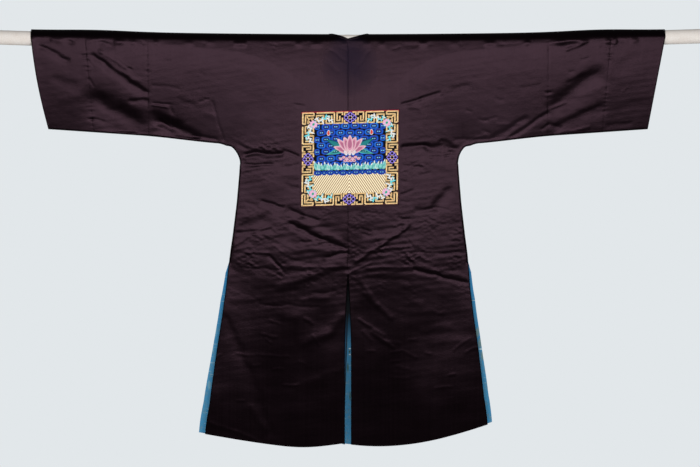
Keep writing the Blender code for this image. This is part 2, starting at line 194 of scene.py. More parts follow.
def finish_piece(name, bm, finish, replaced=()):
    """Stores a mesh as a piece of the one body."""
    for face in bm.faces:
        face.smooth = True
    piece = new_object(name, bm, finish)
    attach(piece, "root")
    if replaced:
        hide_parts(*replaced)
    return piece


def grid_of(bm, columns, rows):
    """Vertices of a new unit grid with their shares across and along."""
    verts = bmesh.ops.create_grid(bm, x_segments=columns, y_segments=rows, size=0.5)["verts"]
    across = np.array([vert.co.x for vert in verts]) + 0.5
    along = np.array([vert.co.y for vert in verts]) + 0.5
    return verts, across, along


def set_places(verts, x, y, z):
    for vert, spot in zip(verts, np.stack([x, y, z], axis=1)):
        vert.co = spot


def widen_rim(bm, edges):
    """Draws new faces out of some edges and gives their far vertices, still in place."""
    made = bmesh.ops.extrude_edge_only(bm, edges=edges)["geom"]
    return [item for item in made if isinstance(item, bmesh.types.BMVert)]


cotton = Finish("cream_cotton", Roughness=0.9)
cotton_spot = cotton.place(stretch=(300, 300, 300))
cotton_slub = cotton.grain(cotton_spot, 4.0, 0.65)
cotton_patch = cotton.grain(cotton.place(stretch=(35, 60, 60)), 3.0)
cotton.feed(
    Base_Color=cotton.blend(
        cotton_slub.between(0.3, 0.7) * 0.6 + cotton_patch.between(0.3, 0.7) * 0.4,
        dye(234, 222, 213), dye(253, 247, 241),
    ),
    Normal=cotton.bump(cotton_slub, 0.0009, 0.7),
)

bm = bmesh.new()
verts, across, along = grid_of(bm, 420, 48)
rod_x = ROD_HALF_LENGTH * (2 * across - 1)
rod_turn = 2 * math.pi * along
wraps = ripple(rod_x, 0.02 * np.cos(rod_turn), 0.03, 3)
fibres = ripple(rod_x, rod_turn * 0.02, 0.008, 4)
rod_r = ROD_RADIUS - 0.0001 + np.clip(0.00012 * wraps + 0.00008 * fibres, -0.0003, 0.0003)
rod_middle = rod_height(rod_x) - LEFT_END_LOWER * smooth((-rod_x - 0.55) / 0.3)
set_places(verts, rod_x, rod_r * np.cos(rod_turn), rod_middle + rod_r * np.sin(rod_turn))
bmesh.ops.remove_doubles(bm, verts=bm.verts, dist=0.0004)
ends = [edge for edge in bm.edges if edge.is_boundary]
bmesh.ops.holes_fill(bm, edges=ends, sides=60)
bmesh.ops.recalc_face_normals(bm, faces=bm.faces)
finish_piece("rod_in_cotton", bm, cotton, ["rod"])


# The body. Each half is one width of heavy silk satin, cut in one from the back hem over the
# shoulder to the front hem and sewn up the centre back. It hangs flat from the rod, closed at its
# underarm and side seams, with a vent behind and a slit at each side.
CLOTH = 0.0016
LOOM_WIDTH = 0.580
UNDERARM_X, UNDERARM_Z, UNDERARM_SLOPE = 0.457, -0.281, 0.068
ARMPIT_X, ARMPIT_RADIUS, ARMPIT_SAG = 0.316, 0.069, 0.0080
SIDE_COLUMNS = ("height", "back", "front")
SIDE = (
    (-0.3373, 0.3160, 0.3160),
    (-0.4640, 0.3255, 0.3255),
    (-0.5570, 0.3365, 0.3365),
    (-0.6380, 0.3468, 0.3468),
    (-0.6680, 0.3500, 0.3560),
    (-0.7480, 0.3587, 0.3690),
    (-0.8930, 0.3790, 0.3910),
    (-1.0380, 0.3970, 0.4135),
    (-1.1240, 0.4090, 0.4257),
)
SLIT_TOP, VENT_TOP = -0.638, -0.673
VENT_HALF_WIDTH, VENT_OPENS_OVER = 0.0088, 0.20
HEM_FOOT, HEM_CORNER = -1.170, -1.124
HEM_LEFT, HEM_RIGHT = (-1.1740, -0.125, 0.178, 0.080), (-1.1715, 0.085, 0.425, 0.280)
NECK_HALF_WIDTH, NECK_FRONT_DROP, NECK_BACK_POINT = 0.0495, 0.0967, 1.45
NECK_SHIFT = 0.0042
CUFF_TOP, CUFF_FOOT, CUFF_BOW = 0.918, 0.869, 0.006
BAND_SEAM_TOP, BAND_SEAM_FOOT = 0.7615, 0.739
DEPTH_AT_HEM, SEAM_REACH = 0.017, 0.27
BACK_FULLNESS, FRONT_FULLNESS = 1.2, 1.6
STAND_OFF_LEFT, STAND_OFF_RIGHT, STAND_OFF_X, STAND_OFF_REACH = 0.0038, 0.0048, 0.73, 0.13
TURNED_IN = 0.0015
BADGE_WIDTH, BADGE_HEIGHT = 0.280, 0.276
BADGE_X, BADGE_Z, BADGE_TILT = 0.0048, -0.3379, math.radians(1.4)
BADGE_LEAN, BADGE_DRAWN_IN = 0.014, 0.985
BACK, FRONT = -1, 1
LEFT, RIGHT = -1, 1

# Creases of the back, in millimetres. They were read from the photo, in pixels of 2.9 mm, and
# converted before they were set down here; some were then changed. Rise above zero stands out
# from the coat, below zero is a dent. Lean, 0 where left out, makes the lower side of a raised
# crease steeper. A dent is steeper above and lies half its reach lower than its row says.
CREASE_COLUMNS = ("from_x", "from_z", "to_x", "to_z", "reach", "rise", "lean")
BACK_CREASES = (
    # Broad swells of the hips and under the arms
    (-300, -655, -130, -655, 95, 5.0),
    (130, -655, 300, -655, 95, 5.0),
    (-400, -245, -300, -250, 45, -0.8),
    (300, -250, 400, -245, 45, -2.5),
    # Left cuff and its band seam
    (-893, -6, -806, -52, 8.7, -2.0),
    (-829, 14, -795, 0, 8.7, -2.2),
    (-768, -35, -754, -44, 5.8, -1.2),
    (-751, -52, -740, -67, 4.6, -1.0),
    (-905, 12, -841, 3, 7.2, -1.0),
    (-858, -96, -783, -122, 11.6, -0.8),
    (-835, -168, -766, -157, 11.6, 0.8),
    # Left lower sleeve
    (-742, -32, -583, -148, 9.3, -3.2),
    (-719, -26, -638, -78, 6.4, 2.0, 0.3),
    (-708, -29, -624, -81, 5.2, -1.6),
    (-742, 12, -676, -9, 9.9, -2.2),
    (-748, -142, -600, -224, 27.0, -8.2),
    (-635, -165, -577, -168, 7.5, -2.2),
    (-748, -223, -705, -229, 5.2, -1.2),
    (-629, -255, -621, -258, 4.3, -0.8),
    (-684, -81, -603, -116, 8.7, 1.2),
    (-748, -104, -734, -128, 4.1, -1.0),
    (-603, 17, -586, -6, 5.8, -1.5),
    (-734, -191, -632, -249, 11.6, 1.2),
    # Left of the body above the underarm
    (-568, -183, -522, -191, 4.6, 1.8, 0.5),
    (-566, -174, -510, -180, 4.6, -1.6),
    (-568, -206, -484, -235, 14.0, -5.0),
    (-516, -186, -505, -206, 4.6, -1.2),
    (-551, -223, -430, -268, 12.0, -5.4),
    (-545, -218, -508, -246, 4.6, 1.6),
    (-450, -267, -380, -281, 6.4, -2.4),
    (-392, -171, -362, -284, 4.6, -1.8),
    (-432, -171, -403, -165, 4.1, -0.9),
    (-418, -160, -406, -168, 3.5, -0.7),
    (-525, -55, -508, -55, 3.5, -0.6),
    (-452, -12, -452, -191, 4.6, -0.3),
    (-568, -122, -493, -133, 5.8, -0.6),
    (-415, -203, -383, -220, 8.7, 0.8),
    (-493, -162, -441, -180, 8.7, -0.7),
    (-568, -249, -516, -264, 8.7, -1.4),
    # Right of the body above the underarm
    (470, -273, 583, -200, 7.0, -2.8),
    (409, -281, 519, -212, 9.3, -2.6),
    (560, -252, 583, -232, 5.2, -1.6),
    (429, -238, 499, -238, 5.8, 0.8),
    (377, -220, 409, -229, 4.6, -1.0),
    (394, -226, 432, -215, 4.6, -0.9),
    (342, -194, 362, -203, 4.6, -0.9),
    (389, -252, 415, -264, 5.2, -1.0),
    (310, -278, 400, -281, 5.8, -1.4),
    (267, -287, 304, -293, 7.5, -2.4),
    (354, -284, 400, -270, 4.6, 0.9),
    (371, -23, 371, -191, 4.6, -0.3),
    (452, -52, 452, -168, 5.2, -0.3),
    (267, -157, 278, -157, 4.1, -0.8),
    (426, -162, 455, -168, 5.8, -0.6),
    (499, -133, 557, -122, 8.7, -0.6),
    # Right lower sleeve
    (632, -26, 731, 20, 6.5, 1.9, 0.5),
    (731, -14, 766, -6, 4.9, -1.4),
    (734, -3, 760, -6, 4.6, -1.0),
    (673, -52, 699, -44, 4.6, -1.0),
    (586, -180, 728, -72, 20.0, -5.4),
    (571, -145, 594, -142, 4.1, -1.3),
    (586, -194, 632, -177, 5.2, 1.4, 0.4),
    (600, -241, 742, -177, 12.2, -2.4),
    (632, -116, 684, -93, 8.7, -1.0),
    (583, -232, 621, -249, 5.8, -1.2),
    (658, -157, 742, -122, 11.6, 1.2),
    (635, -87, 655, -81, 5.8, -0.7),
    (615, -264, 702, -246, 7.0, 1.0),
    # Right cuff
    (763, 6, 800, 6, 5.2, -1.8),
    (766, -6, 818, 14, 4.6, 1.4, 0.4),
    (737, -17, 766, -12, 4.6, 1.4),
    (783, -58, 847, -29, 14.5, -0.8),
    (760, -191, 847, -168, 14.5, -0.8),
    (795, -145, 812, -130, 4.6, 0.5),
    (748, -238, 824, -229, 7.5, -1.0),
    (745, -81, 812, -122, 17.4, 0.6),
    # Under the rod and round the neck
    (-203, 3, -157, 3, 6.4, -1.7),
    (-119, 3, -75, 3, 6.4, -1.7),
    (-226, 0, -206, -9, 4.3, -1.2),
    (-215, -14, -209, -23, 3.5, -0.8),
    (-52, -23, -6, -55, 4.9, -1.2),
    (-29, -14, 0, -23, 3.8, -0.7),
    (23, -67, 44, -52, 4.6, -1.2),
    (44, -52, 61, -26, 4.6, -1.3),
    (12, -14, 35, -20, 3.8, -0.6),
    (128, -20, 151, -12, 4.3, -0.9),
    (-58, -52, -23, -87, 7.0, -0.7),
    (12, -90, 41, -58, 5.8, -0.6),
    (154, -180, 212, -165, 5.8, -2.2),
    (206, -165, 267, -145, 5.8, -2.2),
    (174, -188, 209, -194, 5.2, 1.2),
    (-157, -177, -122, -188, 4.6, -1.2),
    (296, -133, 354, -122, 8.7, -0.8),
    (-342, -61, -249, -64, 7.0, -0.4),
    (162, -9, 238, -3, 7.0, -0.7),
    (-429, -87, -412, -93, 5.8, -0.5),
    (441, -3, 499, -6, 7.0, -0.8),
    (284, 0, 331, -3, 5.8, -0.7),
    (-415, 0, -389, -3, 5.8, -1.0),
    # Across the left armpit
    (-304, -321, -186, -320, 7.5, -4.2),
    (-188, -313, -136, -331, 6.4, -2.2),
    (-278, -313, -232, -299, 4.3, 1.4),
    (-238, -316, -209, -302, 3.8, 1.2),
    (-307, -351, -220, -354, 4.8, -2.2),
    (-310, -336, -223, -339, 5.8, 0.9),
    (-313, -377, -246, -357, 6.4, 0.9),
    (-319, -290, -290, -307, 5.8, -1.6),
    (-296, -296, -261, -313, 4.1, 1.2),
    (-183, -357, -142, -354, 5.2, -1.0),
    (-203, -383, -139, -389, 8.7, 0.8),
    (-180, -412, -139, -423, 7.0, -0.8),
    (-313, -406, -249, -400, 11.6, -0.7),
    # Across the right armpit
    (154, -302, 232, -296, 8.8, -3.6),
    (226, -299, 316, -302, 9.9, -3.4),
    (235, -331, 313, -325, 4.1, -1.1),
    (160, -354, 209, -362, 5.8, -0.9),
    (148, -400, 168, -403, 4.6, -1.2),
    (151, -438, 188, -429, 5.2, -1.4),
    (203, -383, 235, -374, 4.6, -0.9),
    (209, -348, 302, -365, 11.6, 0.9),
    (148, -458, 177, -464, 4.1, -0.8),
    (151, -377, 186, -371, 4.6, 0.9),
    # Waist, left of the centre seam
    (-300, -430, -190, -445, 38, -2.2),
    (-255, -458, -186, -478, 6.4, -2.2),
    (-296, -461, -267, -470, 5.8, -1.0),
    (-177, -481, -130, -499, 8.1, -2.6),
    (-136, -496, -84, -516, 7.0, -2.2),
    (-168, -522, -87, -563, 8.7, -3.6),
    (-93, -560, -3, -597, 7.5, -3.0),
    (-145, -519, -12, -583, 8.7, 1.8),
    (-313, -528, -232, -499, 13.0, -2.2),
    (-325, -551, -220, -542, 7.0, -2.2),
    (-339, -592, -293, -566, 5.2, 1.3, 0.4),
    (-342, -606, -284, -592, 5.2, 1.2),
    (-345, -635, -296, -618, 5.8, 1.2),
    (-302, -612, -229, -612, 4.6, 1.8, 0.5),
    (-232, -615, -188, -655, 5.8, -2.4),
    (-191, -652, 3, -652, 5.0, 1.5, 0.6),
    (-191, -661, -23, -661, 4.4, -1.1),
    (-302, -652, -200, -658, 4.9, -1.2),
    (-64, -621, 3, -609, 6.4, -3.0),
    (-139, -600, -6, -606, 7.0, 1.0),
    (-203, -713, -6, -638, 11.6, 2.4, 0.2),
    (-104, -725, -35, -719, 5.2, -1.2),
    (-220, -586, -191, -609, 4.1, 1.0),
    (-180, -626, -104, -638, 6.4, -1.0),
    (-151, -539, -52, -534, 7.5, -1.0),
    (-273, -563, -249, -539, 5.8, 1.0),
    (-249, -487, -197, -528, 14.5, 1.2),
    (-139, -574, -52, -583, 7.0, -1.0),
    (-220, -638, -191, -661, 3.8, 1.2),
    (-122, -693, -75, -687, 8.7, -1.0),
    (-87, -644, -23, -635, 5.2, 0.9),
    # Waist, right of the centre seam
    (41, -493, 84, -493, 4.1, -0.9),
    (244, -476, 293, -415, 12.2, -2.2),
    (191, -481, 261, -478, 8.1, -2.2),
    (261, -478, 293, -484, 4.6, -0.8),
    (142, -505, 180, -513, 5.8, -1.6),
    (32, -536, 64, -548, 4.9, -1.3),
    (38, -554, 61, -560, 4.3, -1.2),
    (20, -638, 99, -586, 7.0, 2.8, 0.4),
    (93, -589, 180, -531, 6.4, 2.8, 0.5),
    (180, -534, 183, -574, 5.8, -1.4),
    (183, -574, 174, -600, 5.2, -1.2),
    (81, -603, 180, -594, 4.6, 1.5, 0.4),
    (12, -612, 186, -609, 3.5, -0.9),
    (186, -609, 342, -609, 3.5, -0.9),
    (165, -563, 188, -594, 4.1, -1.1),
    (162, -603, 191, -641, 5.2, 1.4, 0.3),
    (3, -667, 46, -652, 3.4, 1.4, 0.3),
    (44, -652, 67, -638, 3.4, 1.4, 0.3),
    (52, -655, 188, -655, 4.6, 1.4, 0.6),
    (58, -664, 186, -664, 4.2, -0.9),
    (186, -655, 267, -676, 6.4, -3.2),
    (261, -676, 348, -696, 5.8, -2.8),
    (191, -647, 342, -684, 7.5, 1.4),
    (52, -679, 180, -687, 7.5, -0.9),
    (203, -621, 238, -638, 4.6, 1.0),
    (261, -525, 284, -525, 4.6, -0.8),
    (244, -539, 267, -534, 4.6, -0.7),
    (29, -684, 70, -737, 7.5, 1.6, 0.2),
    (70, -568, 145, -554, 8.7, 0.9),
    (209, -580, 296, -568, 8.7, -0.7),
    (162, -702, 238, -710, 11.6, 0.9),
    (197, -626, 209, -612, 3.5, 1.1),
    # Skirt, left back panel
    (-360, -783, -319, -864, 11.6, -1.8),
    (-322, -858, -249, -1044, 13.3, -2.4),
    (-252, -1038, -223, -1131, 12.2, -1.8),
    (-325, -905, -244, -908, 4.1, 0.9),
    (-249, -908, -168, -911, 4.1, 0.9),
    (-258, -760, -81, -766, 4.3, -1.0),
    (-226, -806, -197, -818, 3.8, 1.1),
    (-249, -847, -203, -853, 4.1, 1.2),
    (-238, -858, -220, -870, 3.8, 1.2),
    (-139, -873, -52, -847, 11.6, 2.4, 0.2),
    (-58, -850, -9, -783, 11.6, 2.4, 0.2),
    (-104, -847, -81, -879, 3.8, 1.3),
    (-218, -948, -183, -948, 3.5, 1.2),
    (-191, -995, -139, -995, 3.8, 1.6),
    (-403, -1099, -319, -1131, 6.4, 1.5, 0.3),
    (-325, -1128, -226, -1172, 6.4, 1.4, 0.3),
    (-322, -1038, -296, -1038, 3.8, 1.1),
    (-284, -1050, -232, -1131, 8.7, 1.2),
    (-151, -1003, -9, -945, 11.6, 0.9),
    (-377, -914, -365, -902, 3.8, 1.0),
    (-273, -940, -249, -934, 4.1, 1.0),
    (-139, -748, -52, -740, 7.0, 1.2),
    (-342, -748, -249, -742, 8.7, 0.8),
    (-209, -783, -139, -800, 11.6, 1.0),
    (-128, -800, -99, -818, 5.8, 1.4),
    (-313, -800, -267, -893, 17.4, 0.8),
    (-145, -928, -122, -934, 4.3, 0.9),
    (-180, -1067, -52, -1050, 17.4, 0.8),
    # Skirt, right back panel
    (46, -725, 87, -766, 8.1, 2.0, 0.3),
    (81, -760, 130, -803, 8.1, 2.0, 0.3),
    (29, -803, 107, -853, 5.2, 1.9, 0.4),
    (70, -838, 133, -890, 7.0, 2.2, 0.2),
    (52, -896, 81, -899, 3.8, 1.2),
    (122, -899, 157, -896, 3.8, 1.1),
    (157, -893, 200, -914, 4.1, 1.2),
    (220, -902, 244, -902, 3.8, 1.2),
    (174, -861, 200, -864, 4.3, 1.0),
    (119, -972, 180, -974, 4.3, 0.9),
    (293, -966, 313, -963, 4.1, 1.3),
    (249, -1000, 304, -998, 4.1, 1.0),
    (197, -916, 197, -1154, 5.2, -0.5),
    (302, -896, 354, -858, 4.6, 0.9),
    (342, -902, 377, -884, 4.6, 1.2),
    (145, -780, 284, -783, 8.7, 0.8),
    (209, -835, 302, -826, 8.7, 1.0),
    (41, -835, 70, -864, 5.8, 1.0),
    (180, -748, 220, -766, 8.7, 1.0),
    (93, -864, 157, -876, 7.0, 0.9),
    (122, -922, 151, -928, 3.8, 0.9),
    (238, -870, 371, -864, 11.6, 0.8),
    (267, -1038, 354, -1015, 17.4, 0.6),
    (136, -940, 180, -948, 4.6, 0.8),
    (20, -748, 41, -922, 17.4, 0.8),
)
FRONT_CREASES = (
    # None of these can be seen in the photo
    (-735, -60, -590, -160, 18.0, -2.2),
    (-560, -170, -430, -262, 14.0, 1.6),
    (-700, -120, -600, -200, 18.0, -1.8),
    (745, -70, 600, -185, 18.0, -2.2),
    (560, -200, 450, -270, 14.0, 1.6),
    (-300, -325, -120, -335, 10.0, -1.6),
    (130, -318, 305, -305, 10.0, -1.6),
    (-280, -350, -150, -362, 6.0, 1.2),
    (-290, -520, -110, -575, 12.0, -1.6),
    (110, -600, 270, -540, 12.0, 1.6),
    (70, -480, 240, -440, 10.0, -1.2),
    (-330, -700, -120, -668, 11.0, 1.5),
    (90, -690, 330, -720, 11.0, -1.5),
    (-240, -630, -70, -640, 8.0, -1.2),
    (340, -800, 200, -1120, 20.0, 2.4),
    (-120, -820, -250, -1050, 20.0, -2.0),
    (60, -760, 150, -900, 9.0, 1.8, 0.2),
    (-90, -700, -170, -790, 8.0, 1.8, 0.2),
)

WALL_RADIUS = ROD_RADIUS + 0.0003 + CLOTH / 2
SEAM_DEPTH = CLOTH / 2 + 0.00015
QUARTER_ARC = WALL_RADIUS * math.pi / 2
NECK_BACK_DROP = QUARTER_ARC * 0.75
ARMPIT_CENTRE_X = ARMPIT_X + ARMPIT_RADIUS
ARMPIT_CENTRE_Z = UNDERARM_Z + UNDERARM_SLOPE * (ARMPIT_CENTRE_X - UNDERARM_X) - ARMPIT_RADIUS
ARMPIT_END = math.pi / 2 + math.atan(UNDERARM_SLOPE)
ARMPIT_MIDDLE = (math.pi + ARMPIT_END) / 2
YOKE_X = ARMPIT_CENTRE_X + ARMPIT_RADIUS * math.cos(ARMPIT_MIDDLE)
YOKE_FOOT = ARMPIT_CENTRE_Z + ARMPIT_RADIUS * math.sin(ARMPIT_MIDDLE)


def sag_under_arm(x):
    return ARMPIT_SAG * smooth((x - YOKE_X) / 0.022) * (1 - smooth((x - 0.36) / 0.24))


def underarm(x):
    return UNDERARM_Z + UNDERARM_SLOPE * (x - UNDERARM_X) - sag_under_arm(x)


def seam_line():
    """The sewn edge of front and back: under the sleeve, round the armpit, down to the slit."""
    turns = [ARMPIT_END + (math.pi - ARMPIT_END) * i / 10 for i in range(11)]
    bend_x = [ARMPIT_CENTRE_X + ARMPIT_RADIUS * math.cos(turn) for turn in turns]
    bend_z = [ARMPIT_CENTRE_Z + ARMPIT_RADIUS * math.sin(turn) for turn in turns]
    bend = [(x, z - sag_under_arm(x)) for x, z in zip(bend_x, bend_z)]
    sleeve = [(x, underarm(x)) for x in (CUFF_FOOT, 0.60, 0.55, 0.51, 0.48, 0.45, 0.42, 0.40)]
    levels = np.linspace(ARMPIT_CENTRE_Z, SLIT_TOP, 12)[1:]
    sides = [(side_width(level, BACK), level) for level in levels]
    return sleeve + bend + sides


def side_width(level, wall):
    """Half width of the body at a height, on a curve through the rows of SIDE."""
    column = SIDE_COLUMNS.index("front" if wall == FRONT else "back")
    if level >= YOKE_FOOT:
        return YOKE_X
    if level >= ARMPIT_CENTRE_Z:
        return ARMPIT_CENTRE_X - math.sqrt(ARMPIT_RADIUS ** 2 - (level - ARMPIT_CENTRE_Z) ** 2)
    last = len(SIDE) - 1
    i = min(last - 1, sum(row[0] >= level for row in SIDE) - 1)
    t = (level - SIDE[i][0]) / (SIDE[i + 1][0] - SIDE[i][0])
    a, b, c, d = (SIDE[min(last, max(0, k))][column] for k in (i - 1, i, i + 1, i + 2))
    return b + 0.5 * t * (((3 * (b - c) + d - a) * t + 2 * a - 5 * b + 4 * c - d) * t + c - a)


SEAM_LINE = seam_line()
ASKEW_LEVELS = (0.0, 0.285, 0.345, 0.47, 0.62, 0.72, 1.10)
ASKEW_SHARES = (0.0, 0.0, 0.010, 0.009, 0.0065, 0.0, -0.011)


def run_distance(x, z, start, end):
    """Distance to the run from start to end, and which side of it a point is on."""
    run_x, run_z = end[0] - start[0], end[1] - start[1]
    length = math.hypot(run_x, run_z)
    along = ((x - start[0]) * run_x + (z - start[1]) * run_z) / length ** 2
    near = np.clip(along, 0.0, 1.0)
    away = np.hypot(x - start[0] - run_x * near, z - start[1] - run_z * near)
    left = (run_x * (z - start[1]) - run_z * (x - start[0])) / length
    return away, along, left, length


def seam_distance(x, z):
    runs = zip(SEAM_LINE, SEAM_LINE[1:])
    return np.min([run_distance(np.abs(x), z, a, b)[0] for a, b in runs], axis=0)


def badge_offset(x, z):
    """Distance outside the badge's edge, 0 on the badge."""
    off_x = np.maximum(0, np.abs(x - BADGE_X) - BADGE_WIDTH / 2)
    return np.hypot(off_x, np.maximum(0, np.abs(z - BADGE_Z) - BADGE_HEIGHT / 2))


def crease_depth(x, z, wall):
    """The creases and the soft cockle of the silk at points of one wall."""
    x_now = x + 0.0020 * ripple(x, z, 0.055, 11) + 0.0003 * ripple(x, z, 0.016, 12)
    z_now = z + 0.0020 * ripple(x, z, 0.050, 13) + 0.0003 * ripple(x, z, 0.016, 14)
    total = np.zeros_like(x)
    for row in FRONT_CREASES if wall == FRONT else BACK_CREASES:
        crease = dict(zip(CREASE_COLUMNS, (value / 1000 for value in row)))
        start, end = (crease["from_x"], crease["from_z"]), (crease["to_x"], crease["to_z"])
        reach = crease["reach"] * (0.85 + 0.5 * min(1.0, max(0.0, (crease["reach"] - 0.006) / 0.008)))
        near = np.flatnonzero(
            (x > min(start[0], end[0]) - 3 * reach) & (x < max(start[0], end[0]) + 3 * reach)
            & (z > min(start[1], end[1]) - 3 * reach) & (z < max(start[1], end[1]) + 3 * reach)
        )
        if not len(near):
            continue
        dented = crease["rise"] < 0
        lowered = 0.5 * reach if dented else 0.0
        _, along, left, length = run_distance(x_now[near], z_now[near] + lowered, start, end)
        lean = 1 + (-0.28 if dented else 0.55 * crease.get("lean", 0.0) * 1000) * np.sign(left)
        fade = smooth((along * length + reach) / (2 * reach))
        fade = fade * smooth(((1 - along) * length + reach) / (2 * reach))
        softened = 0.29 + 0.15 * min(1.0, max(0.0, (crease["reach"] - 0.005) / 0.006))
        total[near] += softened * crease["rise"] * fade * np.exp(-((left / (reach * lean)) ** 2))
    waist = np.exp(-(((z + 0.60) / 0.13) ** 2))
    armpit = np.exp(-(((z + 0.33) / 0.05) ** 2)) * smooth((np.abs(x) - 0.15) / 0.03)
    skirt = smooth((-0.72 - z) / 0.1)
    total += (0.00003 + 0.00010 * waist + 0.00006 * armpit) * ripple(x * 0.45, z, 0.022, 21 + wall)
    total += (0.00007 + 0.00016 * waist + 0.00010 * skirt) * ripple(x * 0.7, z, 0.060, 31 + wall)
    total += 0.0010 * skirt * ripple(x, z * 0.3, 0.110, 41 + wall)
    crumple = 0.3 + ripple(x, z, 0.09, 71 + wall)
    crumple = 0.00016 * (waist + 0.8 * armpit) * np.maximum(0.0, crumple)
    total += crumple * ripple(x * 0.7, z, 0.013, 81 + wall)
    keep = smooth(seam_distance(x, z) / 0.012)
    if wall == FRONT:
        return total * keep * smooth((np.abs(x) - 0.05) / 0.02)
    return total * keep * smooth((badge_offset(x, z) - 0.001) / 0.010)


def sewing_dip(x, z, wall):
    """How far the cloth is drawn in beside its upright seams, with the pucker along each."""
    fall = np.clip((rod_height(x) - z) / 0.27, 0, 1)
    band_x = BAND_SEAM_TOP + (BAND_SEAM_FOOT - BAND_SEAM_TOP) * fall
    total = np.zeros_like(x)
    seams = ((LOOM_WIDTH, 0.00032, 0.00020, 51), (band_x, 0.00022, 0.00030, 52))
    for seam_x, sunk, pucker, seed in seams:
        away = np.abs(np.abs(x) - seam_x)
        beat = ripple(z, z * 0.3, 0.015, seed + wall) * smooth(0.5 + 0.9 * np.sin(z * 41 + x * 3))
        total += sunk * np.exp(-((away / 0.0022) ** 2)) - pucker * beat * np.exp(-away / 0.007)
    centre = smooth((z - VENT_TOP) / 0.01) if wall == BACK else 0.0
    total += centre * (0.0007 * np.exp(-((x / 0.0018) ** 2)) + 0.0009 * np.exp(-((x / 0.010) ** 2)))
    return total * smooth((rod_height(x) - z + 0.01) / 0.02)


def wall_depth(x, z, wall, creased=True):
    """Distance of the middle of the cloth from the plane of the rod's axis."""
    free = WALL_RADIUS + (DEPTH_AT_HEM - WALL_RADIUS) * np.clip(z / HEM_FOOT, 0, 1)
    along_seam = np.where(z < SLIT_TOP, SLIT_TOP + (z - SLIT_TOP) * 0.5, z)
    near = 1 - np.minimum(1.0, seam_distance(x, along_seam) / SEAM_REACH)
    fullness, phase = (FRONT_FULLNESS, 0.9) if wall == FRONT else (BACK_FULLNESS, 2.4)
    depth = SEAM_DEPTH + (free - SEAM_DEPTH) * (1 - near ** fullness)
    depth += 0.0005 * (1 - np.exp(np.minimum(0.0, z - rod_height(x)) / 0.018))
    depth += 0.004 * smooth((SLIT_TOP - z) / 0.45) * np.sin(2 * math.pi * x / 0.31 + phase)
    if not creased:
        return depth
    below_rod = smooth((rod_height(x) - z) / 0.012)
    return depth + crease_depth(x, z, wall) * below_rod - sewing_dip(x, z, wall)


def roll_under_rod(x, path):
    """Soft places where the cloth leaves the rod a little lower, so its shade dips."""
    below = np.abs(path) - QUARTER_ARC
    dips = np.clip(ripple(x, np.sign(path), 0.060, 61) - 0.1, 0, 0.8) * np.where(path < 0, 1.0, 0.4)
    dips = dips * np.exp(-(((below - 0.008) / 0.008) ** 2))
    wide = 1.5 * np.exp(-(((x - 0.645) / 0.036) ** 2)) * (path < 0)
    return 0.0014 * (dips + wide * np.exp(-(((below - 0.003) / 0.009) ** 2)))


def askew(x, z):
    """The coat hangs a little to the right under its arms and to the left at its hem."""
    return x + np.abs(x) * np.interp(-z, ASKEW_LEVELS, ASKEW_SHARES)


def hang(x, path, rise, creased=True):
    """Where a point of the cloth hangs. Path is measured over the rod, below zero to the back."""
    x, path, rise = np.broadcast_arrays(x, path, np.asarray(rise, dtype=float))
    rise = rise + roll_under_rod(x, path)
    turn = path / WALL_RADIUS
    stand_off = np.where(x < 0, STAND_OFF_LEFT, STAND_OFF_RIGHT)
    stand_off = stand_off * np.exp(-(((np.abs(x) - STAND_OFF_X) / STAND_OFF_REACH) ** 2))
    y = (WALL_RADIUS + rise) * np.sin(turn)
    z = rod_height(x) + (WALL_RADIUS + rise + stand_off) * np.cos(turn)
    for wall in (BACK, FRONT):
        on = np.flatnonzero(path * wall >= QUARTER_ARC)
        if len(on):
            wall_x, wall_z = x[on], rod_height(x[on]) + QUARTER_ARC - np.abs(path[on])
            depth = wall_depth(wall_x, wall_z, wall, creased) + rise[on]
            sewn = np.clip(seam_distance(wall_x, wall_z) / 0.0025, 0, 1)
            y[on] = wall * np.maximum(depth, 0.0001) * np.sqrt(1 - (1 - sewn) ** 2)
            z[on] = wall_z
    return askew(x, z), y, z


def path_of(x, z, wall):
    return wall * (QUARTER_ARC + rod_height(x) - z)


def neck_half_width(path):
    """A half round in front and a soft V behind."""
    front = np.sqrt(np.maximum(0.0, 1 - (path / NECK_FRONT_DROP) ** 2))
    behind = 1 - np.minimum(1.0, np.abs(path) / NECK_BACK_DROP) ** NECK_BACK_POINT
    return NECK_HALF_WIDTH * np.where(path > 0, front, behind)


def vent_half_width(level):
    return VENT_HALF_WIDTH * (1 - (1 - np.clip((VENT_TOP - level) / VENT_OPENS_OVER, 0, 1)) ** 1.5)


def hem_height(x):
    """Each half rises from its own lowest point, rounded there and straighter farther out."""
    halves = (HEM_LEFT, HEM_RIGHT)
    left, right = (lowest + slope * (np.hypot(x - at, bend) - bend) for lowest, at, slope, bend in halves)
    return np.where(x < 0, left, right)


def rows_over_rod(foot, back_step, front_step, over=18):
    """Rows of a piece from its back foot over the rod to its front foot, as wall and level.

    On the rod itself the wall is 0 and the level is the path."""
    def down(step):
        upper = np.linspace(0, YOKE_FOOT, 1 + round(-YOKE_FOOT / step))
        if foot >= YOKE_FOOT:
            return upper
        return np.append(upper, np.linspace(YOKE_FOOT, foot, 1 + round((YOKE_FOOT - foot) / step))[1:])
    back, front = down(back_step)[::-1], down(front_step)
    top = np.linspace(-QUARTER_ARC, QUARTER_ARC, over + 1)[1:-1]
    wall = np.concatenate([np.full(len(back), BACK), np.zeros(len(top)), np.full(len(front), FRONT)])
    return wall, np.concatenate([back, top, front])


